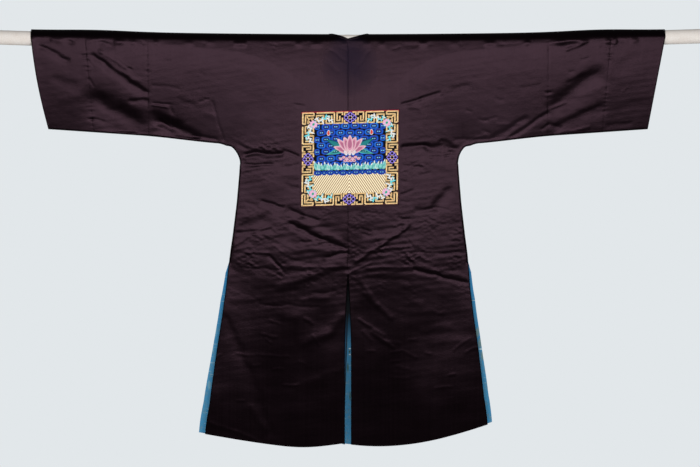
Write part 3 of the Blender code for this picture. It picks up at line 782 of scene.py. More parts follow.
def body_cut(side, rows):
    """The cut of half a body: gives x and path for shares across a row."""
    wall, level = rows
    outer = np.array([side_width(l if w else 0, w or BACK) for w, l in zip(wall, level)])
    hem_width = np.where(wall == FRONT, side_width(HEM_CORNER, FRONT), side_width(HEM_CORNER, BACK))
    path = np.where(wall == 0, level, wall * (QUARTER_ARC - level))
    inner = np.where((wall == 0) | (level > -0.062), neck_half_width(path), 0.0)
    inner = inner + side * NECK_SHIFT * (path < 0.01) * smooth(inner / 0.02)
    inner = np.where((wall == BACK), np.maximum(inner, vent_half_width(level)), inner)
    lap_below = -0.003 * smooth((SLIT_TOP - level) / 0.12) - 0.008 * np.clip((-0.80 - level) / 0.3, 0, 1)
    lap = np.where(wall == FRONT, lap_below, 0.0)
    swing = side * np.where(wall == FRONT, 0.006, 0.0)
    outer = outer * (1 - swing * np.clip((SLIT_TOP - level) / 0.45, 0, 1))

    def cut(across, along):
        row = np.round(along * (len(level) - 1)).astype(int)
        x = side * (inner[row] + (outer[row] - inner[row]) * across) + lap[row] * (1 - across)
        top = rod_height(x)
        yoke = top + (YOKE_FOOT - top) * level[row] / YOKE_FOOT
        hem = hem_height(side * across * hem_width[row])
        skirt = SLIT_TOP + (level[row] - SLIT_TOP) * (hem - SLIT_TOP) / (HEM_CORNER - SLIT_TOP)
        z = np.where(level[row] > YOKE_FOOT, yoke, np.where(level[row] > SLIT_TOP, level[row], skirt))
        return x, np.where(wall[row] == 0, level[row], path_of(x, z, wall[row]))
    return cut


def sleeve_cut(side, rows, start, end, bow=0.0):
    """The cut of a stretch of sleeve, from a head and foot at its start to those at its end."""
    wall, level = rows
    bend = ARMPIT_RADIUS * (ARMPIT_MIDDLE - ARMPIT_END)
    straight_x = ARMPIT_CENTRE_X + ARMPIT_RADIUS * math.cos(ARMPIT_END)

    def foot_of(share):
        if start[0] > YOKE_X:
            return start[1] + (end[1] - start[1]) * share
        length = (bend + end[1] - straight_x) * share
        turn = ARMPIT_MIDDLE - np.minimum(length, bend) / ARMPIT_RADIUS
        bent = ARMPIT_CENTRE_X + ARMPIT_RADIUS * np.cos(turn)
        return np.where(length < bend, bent, straight_x + length - bend)

    def foot_height(x):
        bent = ARMPIT_CENTRE_Z + np.sqrt(np.maximum(0, ARMPIT_RADIUS ** 2 - (x - ARMPIT_CENTRE_X) ** 2))
        return np.where(x < straight_x, bent - sag_under_arm(x), underarm(x))

    def cut(across, along):
        row = np.round(along * (len(level) - 1)).astype(int)
        head = start[0] + (end[0] - start[0]) * across
        foot = foot_of(across)
        fall = np.where(wall[row] == 0, 0.0, level[row] / YOKE_FOOT)
        x = head + (foot - head) * fall
        z = rod_height(head) + (foot_height(foot) - rod_height(head)) * fall
        bowed = x + bow * across * np.sin(math.pi * fall)
        return side * bowed, np.where(wall[row] == 0, level[row], path_of(bowed, z, wall[row]))
    return cut


def outward(spot):
    """The way out of the coat at a point of its cloth."""
    if spot.z > rod_height(spot.x):
        return (0.0, spot.y, spot.z - rod_height(spot.x))
    return (0.0, math.copysign(1.0, spot.y), 0.0)


def cloth_piece(name, cuts, rise, finish, free=None, replaced=()):
    """A sheet of one or more cuts that share an edge, hung, with its free edges turned in."""
    bm = bmesh.new()
    cut_layer = bm.verts.layers.float_vector.new("cut")
    for columns, rows, cut in cuts:
        verts, across, along = grid_of(bm, columns, rows)
        x, path = cut(across, along)
        set_places(verts, *hang(x, path, rise(x, path) if callable(rise) else rise))
        for vert, spot in zip(verts, np.stack([x, path, path * 0], axis=1)):
            vert[cut_layer] = spot
    bmesh.ops.remove_doubles(bm, verts=bm.verts, dist=0.00002)
    bm.normal_update()
    facing = sum(face.normal.dot(outward(face.calc_center_median())) for face in bm.faces)
    if facing < 0:
        bmesh.ops.reverse_faces(bm, faces=bm.faces)
    if free:
        edges = [e for e in bm.edges if e.is_boundary and all(free(vert.co) for vert in e.verts)]
        for vert in widen_rim(bm, edges):
            _, y, z = outward(vert.co)
            size = math.hypot(y, z)
            vert.co.y -= TURNED_IN * y / size
            vert.co.z -= TURNED_IN * z / size
    return finish_piece(name, bm, finish, replaced)


# The satin has bars and streaks of its weave. It is rubbed bluish behind the neck, and under the arms
# its base colour is painted paler as a painted sheen, standing in for light wider than two lamps give.
satin = Finish("aubergine_satin", Specular_IOR_Level=0.08, Specular_Tint=(1.0, 0.55, 0.76, 1.0))
satin_bars = satin.grain(satin.place("cut", (2.2, 210, 1)), 3.0, 0.6)
satin_streaks = satin.grain(satin.place("cut", (170, 1.6, 1)), 2.0, 0.5)
satin_clouds = satin.grain(satin.place("cut", (9, 9, 1)), 3.0, 0.5)
satin_floats = satin.grain(satin.place("cut", (900, 260, 1)), 2.0, 0.6)
satin_cockle = satin.grain(satin.place("cut", (44, 66, 1)), 3.0, 0.5)
satin_tone = satin_bars * 0.2 + satin_streaks * 0.4 + satin_clouds * 0.4
satin_crinkle = satin.grain(satin.place("cut", (140, 150, 1)), 4.0, 0.6)
satin_cockled = satin.bump(satin_cockle * 0.5 + satin_crinkle * 0.4, 0.0007, 0.36)
satin_place = satin.node("SeparateXYZ", None, {0: satin.place()})
satin_across = (satin_place + (-0.006)) * (1 / 0.080)
satin_down = (satin_place.sibling(2) + 0.070) * (1 / 0.085)
satin_behind = (0 - satin_place.sibling(1)).between(0.0, 0.004)
satin_rubbed = satin_behind * oval(satin_across, satin_down, 0.1, 1.2) * satin_clouds
satin_dye = satin.blend(
    satin_tone.between(0.32, 0.68), (0.0006, 0.0003, 0.0004, 1.0), (0.0016, 0.0009, 0.0012, 1.0)
)
satin_cut = satin.node("SeparateXYZ", None, {0: satin.place("cut")})
# Painted sheen: an oval under each arm where the satin's base colour is paler.
satin_sheen_across = (satin_cut.maths("ABSOLUTE", satin_cut) - satin_cut * 0.10 + (-0.36)) * (1 / 0.15)
satin_sheen_down = (satin_cut.sibling(1) + 0.258) * (1 / 0.105)
satin_sheen_share = oval(satin_sheen_across, satin_sheen_down, 0.0, 1.6)
satin_dye_and_sheen = satin.blend(satin_sheen_share * satin_sheen_share, satin_dye, (0.0120, 0.0068, 0.0096, 1.0))
satin.feed(
    Base_Color=satin.blend(satin_rubbed, satin_dye_and_sheen, (0.0016, 0.0040, 0.0150, 1.0)),
    Roughness=0.20 + satin_bars * 0.015 + satin_streaks * 0.05 + satin_clouds * 0.05 + satin_rubbed * 0.25,
    Normal=satin.bump(satin_floats * 0.7 + satin_bars * 0.08, 0.00020, 0.5, satin_cockled),
)

BACK_STEP, FRONT_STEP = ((0.003, 0.005))
body_rows = rows_over_rod(HEM_CORNER, BACK_STEP, FRONT_STEP)
sleeve_rows = rows_over_rod(YOKE_FOOT, BACK_STEP, FRONT_STEP)


def body_edge_is_free(spot):
    side_sewn = abs(spot.y) < 0.0012
    centre_sewn = spot.y < 0 and abs(spot.x) < 0.0005 and spot.z > VENT_TOP and spot.z < 0.008
    return not side_sewn and not centre_sewn and abs(spot.x) < LOOM_WIDTH - 0.001


for side, word in ((LEFT, "left"), (RIGHT, "right")):
    yoke = sleeve_cut(side, sleeve_rows, (YOKE_X, YOKE_X), (LOOM_WIDTH, LOOM_WIDTH))
    body = cloth_piece(
        f"body_{word}_satin",
        [
            (round(0.34 / BACK_STEP), len(body_rows[0]) - 1, body_cut(side, body_rows)),
            (round(0.25 / BACK_STEP), len(sleeve_rows[0]) - 1, yoke),
        ],
        CLOTH / 2, satin, body_edge_is_free, [f"body_{word}"],
    )


# The lower sleeves and cuff bands. Each is a further width of the same satin, joined to the
# selvedge before it by a plain upright seam that draws the silk into small puckers.
SLEEVE_PARTS = (
    ("sleeve", (LOOM_WIDTH, LOOM_WIDTH), (BAND_SEAM_TOP, BAND_SEAM_FOOT), (0.182, 0.64), 0.108),
    ("cuff", (BAND_SEAM_TOP, BAND_SEAM_FOOT), (CUFF_TOP, CUFF_FOOT), (0.157, 0.63), 0.091),
)


def cuff_edge_is_free(spot):
    return abs(spot.x) > 0.80 and abs(spot.y) > 0.0008


for side, word in ((LEFT, "left"), (RIGHT, "right")):
    for part, start, end, flat, area in SLEEVE_PARTS:
        columns = round((end[0] - start[0]) / BACK_STEP)
        bow = CUFF_BOW if (part, side) == ("cuff", LEFT) else 0.0
        cut = sleeve_cut(side, sleeve_rows, start, end, bow)
        piece = cloth_piece(
            f"{part}_{word}_satin", [(columns, len(sleeve_rows[0]) - 1, cut)],
            CLOTH / 2, satin, cuff_edge_is_free, [f"{part}_{word}"],
        )


# The lining. Plain light blue silk inside the whole coat. The front skirt panels spread wider than
# the back ones, so their lining shows beside the slits and through the vent, worn and rubbed. It is
# darker higher up the slits and vent, and painted shade and shadow lie in the vent.
STAIN, STITCH = dye(70, 92, 52), dye(206, 226, 226)
PALE, GREYED = dye(112, 164, 186), dye(112, 140, 138)
LINING_MARKS = (
    # Old stains and repair stitches in the vent and worn places beside the slits, in millimetres
    (5, -890, 3.5, 2.0, STITCH),
    (5, -907, 3.0, 2.0, STITCH),
    (4.5, -899, 2.5, 4.0, STAIN),
    (-0.5, -945, 2.4, 14.0, STAIN),
    (6.0, -1028, 2.0, 15.0, STAIN),
    (376, -843, 5.0, 15.0, GREYED),
    (383, -874, 6.0, 15.0, GREYED),
    (391, -909, 5.0, 14.0, GREYED),
    (386, -891, 5.5, 2.2, STITCH),
    (-386, -834, 5.0, 22.0, PALE),
    (-394, -890, 4.0, 12.0, PALE),
    (-403, -996, 5.0, 14.0, PALE),
)
blue = Finish("blue_lining_silk", Roughness=0.62, Specular_IOR_Level=0.2)
blue_streaks = blue.grain(blue.place("cut", (420, 14, 1)), 3.0, 0.6)
blue_wear = blue.grain(blue.place("cut", (130, 60, 1)), 4.0, 0.65)
blue_scratch = blue.grain(blue.place("cut", (24, 330, 1)), 2.0, 0.5)
blue_spots = blue.grain(blue.place("cut", (160, 42, 1)), 2.0, 0.5)
blue_place = blue.node("SeparateXYZ", None, {0: blue.place()})
blue_drop = 0 - blue_place.sibling(2)
blue_middle = 1 - blue_place.maths("ABSOLUTE", blue_place).between(0.018, 0.030)
# Darker higher up, lighter towards the hem.
blue_by_height = blue.blend(blue_drop.between(0.64, 0.92), dye(34, 110, 152), dye(70, 146, 184))
blue_woven = blue.blend(blue_streaks.between(0.3, 0.7) * 0.5, blue_by_height, dye(30, 124, 182))
blue_worn = blue_wear.between(0.50, 0.68) * blue_drop.between(0.72, 0.88)
blue_greyed = blue.blend(blue_worn * 0.6, blue_woven, dye(112, 136, 140))
blue_rubbed = blue.blend(blue_scratch.between(0.64, 0.72) * 0.7, blue_greyed, dye(176, 206, 214))
blue_stained = blue.blend(blue_spots.between(0.68, 0.76) * 0.6, blue_rubbed, dye(92, 98, 60))
# Painted shade: the vent's lining is darker left of the gap between the two fronts, and a painted shadow line
# marks the gap.
blue_gap = blue_place + 0.0015 + (blue_drop + (-0.80)) * 0.034
blue_left_shade_share = (1 - blue_gap.between(-0.0022, -0.0010)) * blue_middle
blue_left_shaded = blue.blend(blue_left_shade_share * 0.8, blue_stained, dye(0, 70, 112))
blue_gap_shadow_share = (1 - blue_gap.maths("ABSOLUTE", blue_gap).between(0.0008, 0.0024)) * blue_middle
blue_gap_shadowed = blue.blend(blue_gap_shadow_share * 0.95, blue_left_shaded, dye(2, 18, 28))
# Painted shadow: the lining in the upper vent is nearly black.
blue_vent_top_shadow = blue_middle * blue_drop.between(0.50, 0.55) * (1 - blue_drop.between(0.785, 0.875))
blue_colour = blue.blend(blue_vent_top_shadow * 0.98, blue_gap_shadowed, dye(0, 8, 14))
for x, z, half_width, half_height, colour in LINING_MARKS:
    across = (blue_place + (-x / 1000)) * (1000 / half_width)
    down = (blue_drop + z / 1000) * (1000 / half_height)
    blue_colour = blue.blend(oval(across, down, 0.4, 1.3) * 0.85, blue_colour, colour)
blue.feed(Base_Color=blue_colour, Normal=blue.bump(blue_streaks, 0.0003, 0.6))

INSIDE_STEP = 0.009
inside_rows = rows_over_rod(HEM_CORNER, INSIDE_STEP, INSIDE_STEP, 10)
inside_sleeve_rows = rows_over_rod(YOKE_FOOT, INSIDE_STEP, INSIDE_STEP, 10)


def lining_rise(x, path):
    """The lining lies on the satin at every edge and clear of its creases inside."""
    level = rod_height(x) + QUARTER_ARC - np.abs(path)
    clear = smooth((level - hem_height(x) - 0.004) / 0.03) * smooth((-0.01 - level) / 0.03)
    clear = clear * smooth((CUFF_FOOT - 0.01 - np.abs(x)) / 0.04)
    beside_slit = smooth((np.abs(x) - side_at(level, path) + 0.03) / 0.028)
    slit = smooth((SLIT_TOP + 0.02 - level) / 0.02) * beside_slit
    vent = smooth((VENT_TOP + 0.02 - level) / 0.02) * smooth((0.035 - np.abs(x)) / 0.026)
    return -CLOTH / 2 - 0.0028 * clear * (1 - slit) * (1 - vent)


def side_at(level, path):
    lined = np.linspace(SLIT_TOP + 0.03, HEM_CORNER, 40)
    back, front = ([side_width(l, wall) for l in lined] for wall in (BACK, FRONT))
    return np.where(path < 0, np.interp(-level, -lined, back), np.interp(-level, -lined, front))


for side, word in ((LEFT, "left"), (RIGHT, "right")):
    yoke = sleeve_cut(side, inside_sleeve_rows, (YOKE_X, YOKE_X), (CUFF_TOP - 0.002, CUFF_FOOT - 0.002))
    inside = cloth_piece(
        f"lining_{word}_inside",
        [
            (38, len(inside_rows[0]) - 1, body_cut(side, inside_rows)),
            (66, len(inside_sleeve_rows[0]) - 1, yoke),
        ],
        lining_rise, blue,
    )

panel_rows = (np.full(121, FRONT), np.linspace(SLIT_TOP - 0.028, HEM_CORNER, 121))


def panel_cut(side):
    whole = body_cut(side, panel_rows)
    inner_edge = 0.010 if side == LEFT else 0.002

    def cut(across, along):
        x, path = whole(inner_edge + (0.9985 - inner_edge) * across, along)
        return x, np.minimum(path, path_of(x, hem_height(x) + 0.0025, FRONT))
    return cut


for side, word in ((LEFT, "left"), (RIGHT, "right")):
    panel = cloth_piece(
        f"lining_{word}_panel", [(90, 120, panel_cut(side))],
        -CLOTH / 2 - 0.0010, blue, replaced=[f"lining_{word}"],
    )


# The neck binding. A bias strip of the same satin, folded over the raw edge of the round neck and
# sewn down, so it stands as a soft half round rib. It is open at the centre front.
BINDING_WIDTH = 0.008
BUTTON_HEIGHTS = (-0.085, -0.215, -0.345, -0.475, -0.605)


def neck_path(turn):
    """x and path of the neck's edge, turn 0 at the centre back and pi at the centre front."""
    if abs(turn) > math.pi / 2:
        return NECK_HALF_WIDTH * math.sin(turn), -NECK_FRONT_DROP * math.cos(turn)
    x = NECK_HALF_WIDTH * (1 - math.cos(turn) ** NECK_BACK_POINT)
    return math.copysign(x, turn) + NECK_SHIFT * float(smooth(x / 0.02)), -NECK_BACK_DROP * math.cos(turn)


bm = bmesh.new()
cut_layer = bm.verts.layers.float_vector.new("cut")
verts, across, along = grid_of(bm, 260, 10)
spots = []
for a, b in zip(across, along):
    turn = (2 * a - 1) * (math.pi - 0.004)
    x, path = neck_path(turn)
    (x_before, path_before), (x_after, path_after) = neck_path(turn - 0.02), neck_path(turn + 0.02)
    slope_x, slope_path = path_after - path_before, x_before - x_after
    size = math.hypot(slope_x, slope_path)
    reach = BINDING_WIDTH * b - 0.0006
    rise = CLOTH / 2 + 0.0014 * math.sin(math.pi * min(1, b * 1.02)) ** 0.6 - 0.0022 * (b < 0.05)
    spots.append((x + slope_x / size * reach, path + slope_path / size * reach, rise))
spots = np.array(spots)
set_places(verts, *hang(spots[:, 0], spots[:, 1], spots[:, 2]))
for vert, spot in zip(verts, spots):
    vert[cut_layer] = (spot[0], spot[1], 0)
bmesh.ops.recalc_face_normals(bm, faces=bm.faces)
binding = finish_piece("neck_binding_rib", bm, satin, ["neck_binding"])


# The badge's ground. A square of black silk satin, stiffened with paper, piped in crimson and
# slip-stitched to the back, a little askew. All its needlework lies on it.
BADGE_THICKNESS, BADGE_MARGIN = 0.0012, 0.0020
FIELD = 0.1035


def sew_on(p, q, height):
    """A point of the badge, measured on it from its middle, on the coat's back.

    It is sewn on a little aslant: its right side stands higher, its head farther right."""
    x = BADGE_X + p * math.cos(BADGE_TILT) + q * BADGE_LEAN
    z = BADGE_Z + p * math.sin(BADGE_TILT) + q * BADGE_DRAWN_IN
    return hang(x, path_of(x, z, BACK), height + CLOTH / 2, creased=False)


def sew_piece(name, bm, finish):
    """Sews a flat piece, drawn as x, y and height, to the back, and keeps its flat place."""
    flat = bm.verts.layers.float_vector.new("flat")
    spots = np.array([vert.co for vert in bm.verts])
    for vert in bm.verts:
        vert[flat] = vert.co
    set_places(bm.verts, *sew_on(spots[:, 0], spots[:, 1], spots[:, 2]))
    return finish_piece(name, bm, finish)


def thread_colour(bm, faces, colour):
    layer = bm.loops.layers.float_color.get("thread") or bm.loops.layers.float_color.new("thread")
    for face in faces:
        for loop in face.loops:
            loop[layer] = colour


black = Finish("badge_black_satin", Roughness=0.5, Specular_IOR_Level=0.04)
black_weave = black.grain(black.place("flat", (1500, 700, 1)), 2.0)
black.feed(
    Base_Color=black.blend(
        black_weave.between(0.3, 0.7), (0.0008, 0.0005, 0.0016, 1.0), (0.0030, 0.0020, 0.0060, 1.0)
    ),
    Normal=black.bump(black_weave, 0.0002, 0.6),
)

floss = Finish("silk_floss", Roughness=0.45, Specular_IOR_Level=0.12)
floss_colour = floss.node("Attribute", {"attribute_name": "thread"}, out=0)
floss_strands = floss.grain(floss.place("flat", (420, 2600, 1)), 2.0, 0.6)
floss_shade = floss.node("MapRange", None, {"Value": floss_strands, 1: 0.3, 2: 0.7, 3: 0.78, 4: 1.10})
floss.feed(
    Base_Color=floss.node("VectorMath", {"operation": "SCALE"}, {0: floss_colour, 3: floss_shade}),
    Normal=floss.bump(floss_strands, 0.00025, 0.7),
)

bm = bmesh.new()
bmesh.ops.create_grid(bm, x_segments=48, y_segments=48, size=0.5)
ground_size = (BADGE_WIDTH + 2 * BADGE_MARGIN, BADGE_HEIGHT + 2 * BADGE_MARGIN, 1)
bmesh.ops.scale(bm, verts=bm.verts, vec=ground_size)
bmesh.ops.translate(bm, verts=bm.verts, vec=(0, 0, BADGE_THICKNESS))
for vert in widen_rim(bm, [edge for edge in bm.edges if edge.is_boundary]):
    vert.co.z = -0.0002
badge_ground = sew_piece("badge_ground", bm, black)
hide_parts("rank_badge")

PIPING_RADIUS = 0.0013


def cords_along(lines, radius, sides):
    """A mesh of round cords along lines of points, each with whether it is closed."""
    curve = bpy.data.curves.new("cords", "CURVE")
    curve.dimensions = "3D"
    curve.bevel_depth = radius
    curve.bevel_resolution = sides
    curve.use_fill_caps = True
    for points, closed in lines:
        line = curve.splines.new("POLY")
        line.points.add(len(points) - 1)
        line.use_cyclic_u = closed
        for spot, place in zip(line.points, points):
            spot.co = (*place, 1.0)
    drawn = bpy.data.objects.new("cord_lines", curve)
    bm = bmesh.new()
    bm.from_mesh(bpy.data.meshes.new_from_object(drawn))
    bpy.data.objects.remove(drawn)
    return bm


def cord_piece(name, lines, radius, finish, squash=1.0, sides=1):
    """Cords drawn flat on the badge and sewn to it."""
    bm = cords_along(lines, radius, sides)
    for vert in bm.verts:
        vert.co.z = BADGE_THICKNESS + (vert.co.z - BADGE_THICKNESS) * squash
    bmesh.ops.recalc_face_normals(bm, faces=bm.faces)
    sew_piece(name, bm, finish)


def finer(points, step):
    """The line with points added, so that it can follow the coat."""
    line = [points[0]]
    for start, end in zip(points, points[1:]):
        count = max(1, math.ceil(math.dist(start, end) / step))
        line += [tuple(s + (e - s) * i / count for s, e in zip(start, end)) for i in range(1, count + 1)]
    return line


# Painted shade: the piping along the sides and foot is a darker copy of the crimson at the top.
crimson = Finish("crimson_piping", Base_Color=dye(186, 8, 56), Roughness=0.5)
shaded_crimson = Finish("shaded_crimson_piping", Base_Color=dye(74, 10, 30), Roughness=0.6)
edge_p, edge_q = BADGE_WIDTH / 2, BADGE_HEIGHT / 2
for name, far_q, finish in (("badge_piping", -edge_q, shaded_crimson), ("badge_top_piping", edge_q, crimson)):
    corners = [(-edge_p, edge_q - 0.004), (-edge_p, far_q), (edge_p, far_q), (edge_p, edge_q - 0.004)]
    line = finer([(p, q, BADGE_THICKNESS) for p, q in corners], 0.006)
    cord_piece(name, [(line, False)], PIPING_RADIUS, finish, sides=2)


# The fret border. Gold-wrapped cord laid three abreast and couched down with fine red stitches, in
# square coils and combs, the same run eight times, mirrored about each side's middle.
FRET_PITCH = 0.0078
FRET_EDGE = 0.0028
CORD_RADIUS = 0.00078
KNOT_REACH = 0.0225
FRET_RUNS = (
    ((0, 1), (0, 0), (2, 0), (2, 3), (1, 3), (1, 1.3)),
    ((0, 2), (0, 4), (3, 4), (3, 0)),
    ((3, 0), (9.6, 0)),
    ((4, 1), (4, 4), (6, 4), (6, 1)),
    ((5, 1), (5, 3)),
    ((7, 4), (7, 1), (9.6, 1), (9.6, 3), (8.3, 3), (8.3, 2)),
    ((7, 4), (9.6, 4)),
    ((-2.1, 0), (-0.8, 0), (-0.8, 1.2)),
    ((-2.1, 4), (-0.8, 4), (-0.8, 2.8)),
)
CORNER_RUNS = (
    ((4.1, 0), (0, 0), (0, 4.1)),
    ((4.1, 0), (4.1, 1), (1, 1), (1, 4.1), (0, 4.1)),
    ((2, 4.1), (2, 2.9), (3.0, 3.9)),
    ((4.1, 2), (2.9, 2), (3.9, 3.0)),
    ((1.5, 1.5), (2.5, 2.5)),
)


def beside(points, shift):
    """A line of right angles moved to its left, mitred at the corners."""
    line = []
    for i, (x, y) in enumerate(points):
        before = points[max(0, i - 1)]
        after = points[min(len(points) - 1, i + 1)]
        here = [(b[0] - a[0], b[1] - a[1]) for a, b in ((before, (x, y)), ((x, y), after)) if a != b]
        normals = [(-dy / math.hypot(dx, dy), dx / math.hypot(dx, dy)) for dx, dy in here]
        nx, ny = (sum(n[k] for n in normals) / len(normals) for k in (0, 1))
        size = nx * nx + ny * ny
        line.append((x + shift * nx / size, y + shift * ny / size))
    return line


def on_side(turn, mirror, along, down):
    """A point of a side: along from the side's middle, down from the badge's edge."""
    edge = (BADGE_HEIGHT if turn % 2 == 0 else BADGE_WIDTH) / 2
    reach = (BADGE_WIDTH if turn % 2 == 0 else BADGE_HEIGHT) / 2 / (BADGE_WIDTH / 2)
    p, q = mirror * along * reach, edge - down
    for _ in range(turn):
        p, q = -q, p
    return p, q


def fret_lines():
    """Every line of the fret: of each side's two halves from its knot, and of each corner."""
    lines = []
    halves = [(mirror, KNOT_REACH, FRET_PITCH, FRET_RUNS) for mirror in (-1, 1)]
    corner = (1, BADGE_WIDTH / 2 - FRET_EDGE, -FRET_PITCH, CORNER_RUNS)
    for turn in range(4):
        for mirror, start, pitch, runs in (*halves, corner):
            for run in runs:
                spots = ((start + pitch * column, FRET_EDGE + FRET_PITCH * row) for column, row in run)
                lines.append([on_side(turn, mirror, along, down) for along, down in spots])
    return lines


gold = Finish(
    "couched_gold", Roughness=0.38, Specular_IOR_Level=0.6, Specular_Tint=(1.0, 0.85, 0.55, 1.0)
)
gold_twist = gold.grain(gold.place("flat", (1300, 1300, 300)), 2.0, 0.5)
gold_patch = gold.grain(gold.place("flat", (120, 120, 1)), 2.0, 0.5)
gold.feed(
    Base_Color=gold.blend(
        gold_twist.between(0.35, 0.65) * 0.6 + gold_patch.between(0.35, 0.65) * 0.4,
        dye(236, 182, 108), dye(255, 238, 190),
    ),
    Metallic=0.25 + gold_patch * 0.2,
    Normal=gold.bump(gold_twist, 0.0004, 0.8),
)
# Painted shadow: a flat dark brown strip laid under each run of gold cords darkens the gaps between and
# beside them.
gold_shadow_finish = Finish("gold_shadow", Base_Color=dye(150, 88, 44), Roughness=0.6)

cords, fret_shadow_lines = [], []
for line in fret_lines():
    for shift in (-1, 0, 1):
        moved_line = beside(line, shift * CORD_RADIUS * 1.85)
        raised_line = [(p, q, BADGE_THICKNESS + CORD_RADIUS * 0.8) for p, q in moved_line]
        cords.append((finer(raised_line, 0.008), False))
    fret_shadow_lines.append((finer([(p, q, BADGE_THICKNESS) for p, q in line], 0.008), False))
cord_piece("badge_fret_gold", cords, CORD_RADIUS, gold)
cord_piece("badge_fret_shadow", fret_shadow_lines, CORD_RADIUS * 3.3, gold_shadow_finish, squash=0.16)


# The cloud ground. Rows of small ruyi clouds in satin stitch, each worked in three blues from the
# rim in, with a pair of pale knots, and thin brown couched lines between them.
CLOUD_PITCH, CLOUD_ROW = 0.0276, 0.0186
CLOUD_LENGTH, CLOUD_HEIGHT = 0.0290, 0.0194
ROYAL, NAVY, AZURE = dye(0, 82, 204), dye(0, 12, 96), dye(8, 118, 226)
PALE_CYAN, WHITE = dye(150, 226, 240), dye(246, 248, 248)
AQUA, PALE_AQUA, SEA = dye(140, 218, 208), dye(196, 238, 230), dye(92, 184, 180)


def patch(
    bm, p, q, length, height, colours, turn=0.0, point=0.0, lobes=0, sides=20, rise=0.0007, level=0.0
):
    """A rounded patch of satin stitch in rings from the rim in. Point narrows its far end."""
    disc = bmesh.ops.create_circle(bm, cap_ends=True, segments=sides, radius=1.0)["verts"]
    for vert in disc:
        angle = math.atan2(vert.co.y, vert.co.x)
        swell = 1 - 0.07 * math.cos(lobes * angle) if lobes else 1
        narrow = 1 - point * (0.5 + 0.5 * math.cos(angle)) ** 1.5
        x, y = length / 2 * swell * math.cos(angle), height / 2 * swell * narrow * math.sin(angle)
        vert.co.x = p + x * math.cos(turn) - y * math.sin(turn)
        vert.co.y = q + x * math.sin(turn) + y * math.cos(turn)
        vert.co.z = BADGE_THICKNESS + level
    face = disc[0].link_faces[0]
    thread_colour(bm, [face], colours[0])
    for i, colour in enumerate((colours[0],) + tuple(colours)):
        made = bmesh.ops.extrude_face_region(bm, geom=[face])["geom"]
        raised = next(item for item in made if isinstance(item, bmesh.types.BMFace))
        bmesh.ops.delete(bm, geom=[face], context="FACES_ONLY")
        face = raised
        thread_colour(bm, [wall for edge in face.edges for wall in edge.link_faces], colour)
        share = 1.0 if i == 0 else 1 - i / (len(colours) + 0.35)
        if i:
            share /= 1 - (i - 1) / (len(colours) + 0.35)
        for vert in face.verts:
            vert.co.x = p + (vert.co.x - p) * share
            vert.co.y = q + (vert.co.y - q) * share
            vert.co.z += rise * (0.55 if i == 0 else 0.45 / len(colours))


def knot_stitch(bm, p, q, size, colour, level=0.0008):
    ball = bmesh.ops.create_icosphere(bm, subdivisions=1, radius=size / 2)["verts"]
    bmesh.ops.scale(bm, verts=ball, vec=(1, 1, 0.6))
    bmesh.ops.translate(bm, verts=ball, vec=(p, q, BADGE_THICKNESS + level))
    thread_colour(bm, {face for vert in ball for face in vert.link_faces}, colour)


def needlework(name, bm):
    """Finishes a group of patches as one piece of embroidery."""
    bmesh.ops.recalc_face_normals(bm, faces=bm.faces)
    sew_piece(name, bm, floss)


sky_top = FIELD - 0.009
rows = 7
bm = bmesh.new()
between = []
for row in range(rows):
    q = sky_top - CLOUD_ROW * row
    count = 7 if row % 2 else 8
    for i in range(count):
        p = (i - (count - 1) / 2) * CLOUD_PITCH
        length = CLOUD_LENGTH
        if abs(p) > FIELD - CLOUD_LENGTH / 2:
            p = math.copysign(FIELD - CLOUD_LENGTH * 0.3, p)
            length = CLOUD_LENGTH * 0.58
        lift = 0.0012 * math.sin(5.1 * i + 2.3 * row)
        lean = 0.10 * math.sin(3.7 * i + 1.9 * row)
        tones = (ROYAL, AZURE if (i + row) % 3 == 0 else ROYAL, NAVY, NAVY, ROYAL)
        patch(
            bm, p, q + lift, length, CLOUD_HEIGHT, tones, lean,
            lobes=4, sides=24, level=0.0003 * (i % 2),
        )
        for side in (-1, 1):
            knot_stitch(bm, p + side * 0.0030, q + lift, 0.0044, PALE_CYAN)
        if row < rows - 1:
            between.append((p + CLOUD_PITCH / 2, q - CLOUD_ROW / 2, i + row))
needlework("badge_clouds", bm)

lines = []
for p, q, turn in between:
    if abs(p) < FIELD - 0.006:
        bend = 0.0016 if turn % 2 else -0.0016
        curl = [(p + 0.0070 * t, q + bend * math.cos(3 * t)) for t in (-1, -0.5, 0, 0.5, 1)]
        lines.append(([(*spot, BADGE_THICKNESS + 0.0004) for spot in curl], False))
rust = Finish("brown_couching", Base_Color=dye(92, 38, 26), Roughness=0.6)
cord_piece("badge_brown_lines", lines, 0.00055, rust)


# The sea. A band of pale crests with white foam tips, over a row of rolling blue waves, over the
# upright water, which is laid gold thread in slanting stripes that meet at the middle.
SEA_TOP, SEA_FOOT = -0.006, -0.034
ROLLERS_FOOT, STRIPES_FOOT = -0.0490, -0.102
STRIPE_PITCH, STRIPE_SLOPE = 0.0100, 1.50

bm = bmesh.new()
crests = 22
for i in range(crests):
    p = (i - (crests - 1) / 2) * (2 * FIELD - 0.010) / (crests - 1)
    top = SEA_TOP - 0.010 * (1 - (p / FIELD) ** 2) - 0.0030 * (i % 3)
    upright = math.pi / 2 - math.copysign(0.42, p) * (0.6 + 0.4 * math.cos(2.6 * i))
    length = top - SEA_FOOT + 0.002
    tones = ((AQUA, AQUA, SEA), (PALE_AQUA, AQUA), (SEA, AQUA))[i % 3]
    patch(
        bm, p, SEA_FOOT + length / 2, length, 0.0180, tones, upright, 0.85,
        sides=24, level=0.0005 + 0.0002 * (i % 3),
    )
    foam_p, foam_q = p + 0.40 * length * math.cos(upright), SEA_FOOT + 0.90 * length
    patch(bm, foam_p, foam_q, 0.0090, 0.0046, (WHITE, WHITE), upright, 0.6, sides=12, level=0.0016)
needlework("badge_crests", bm)

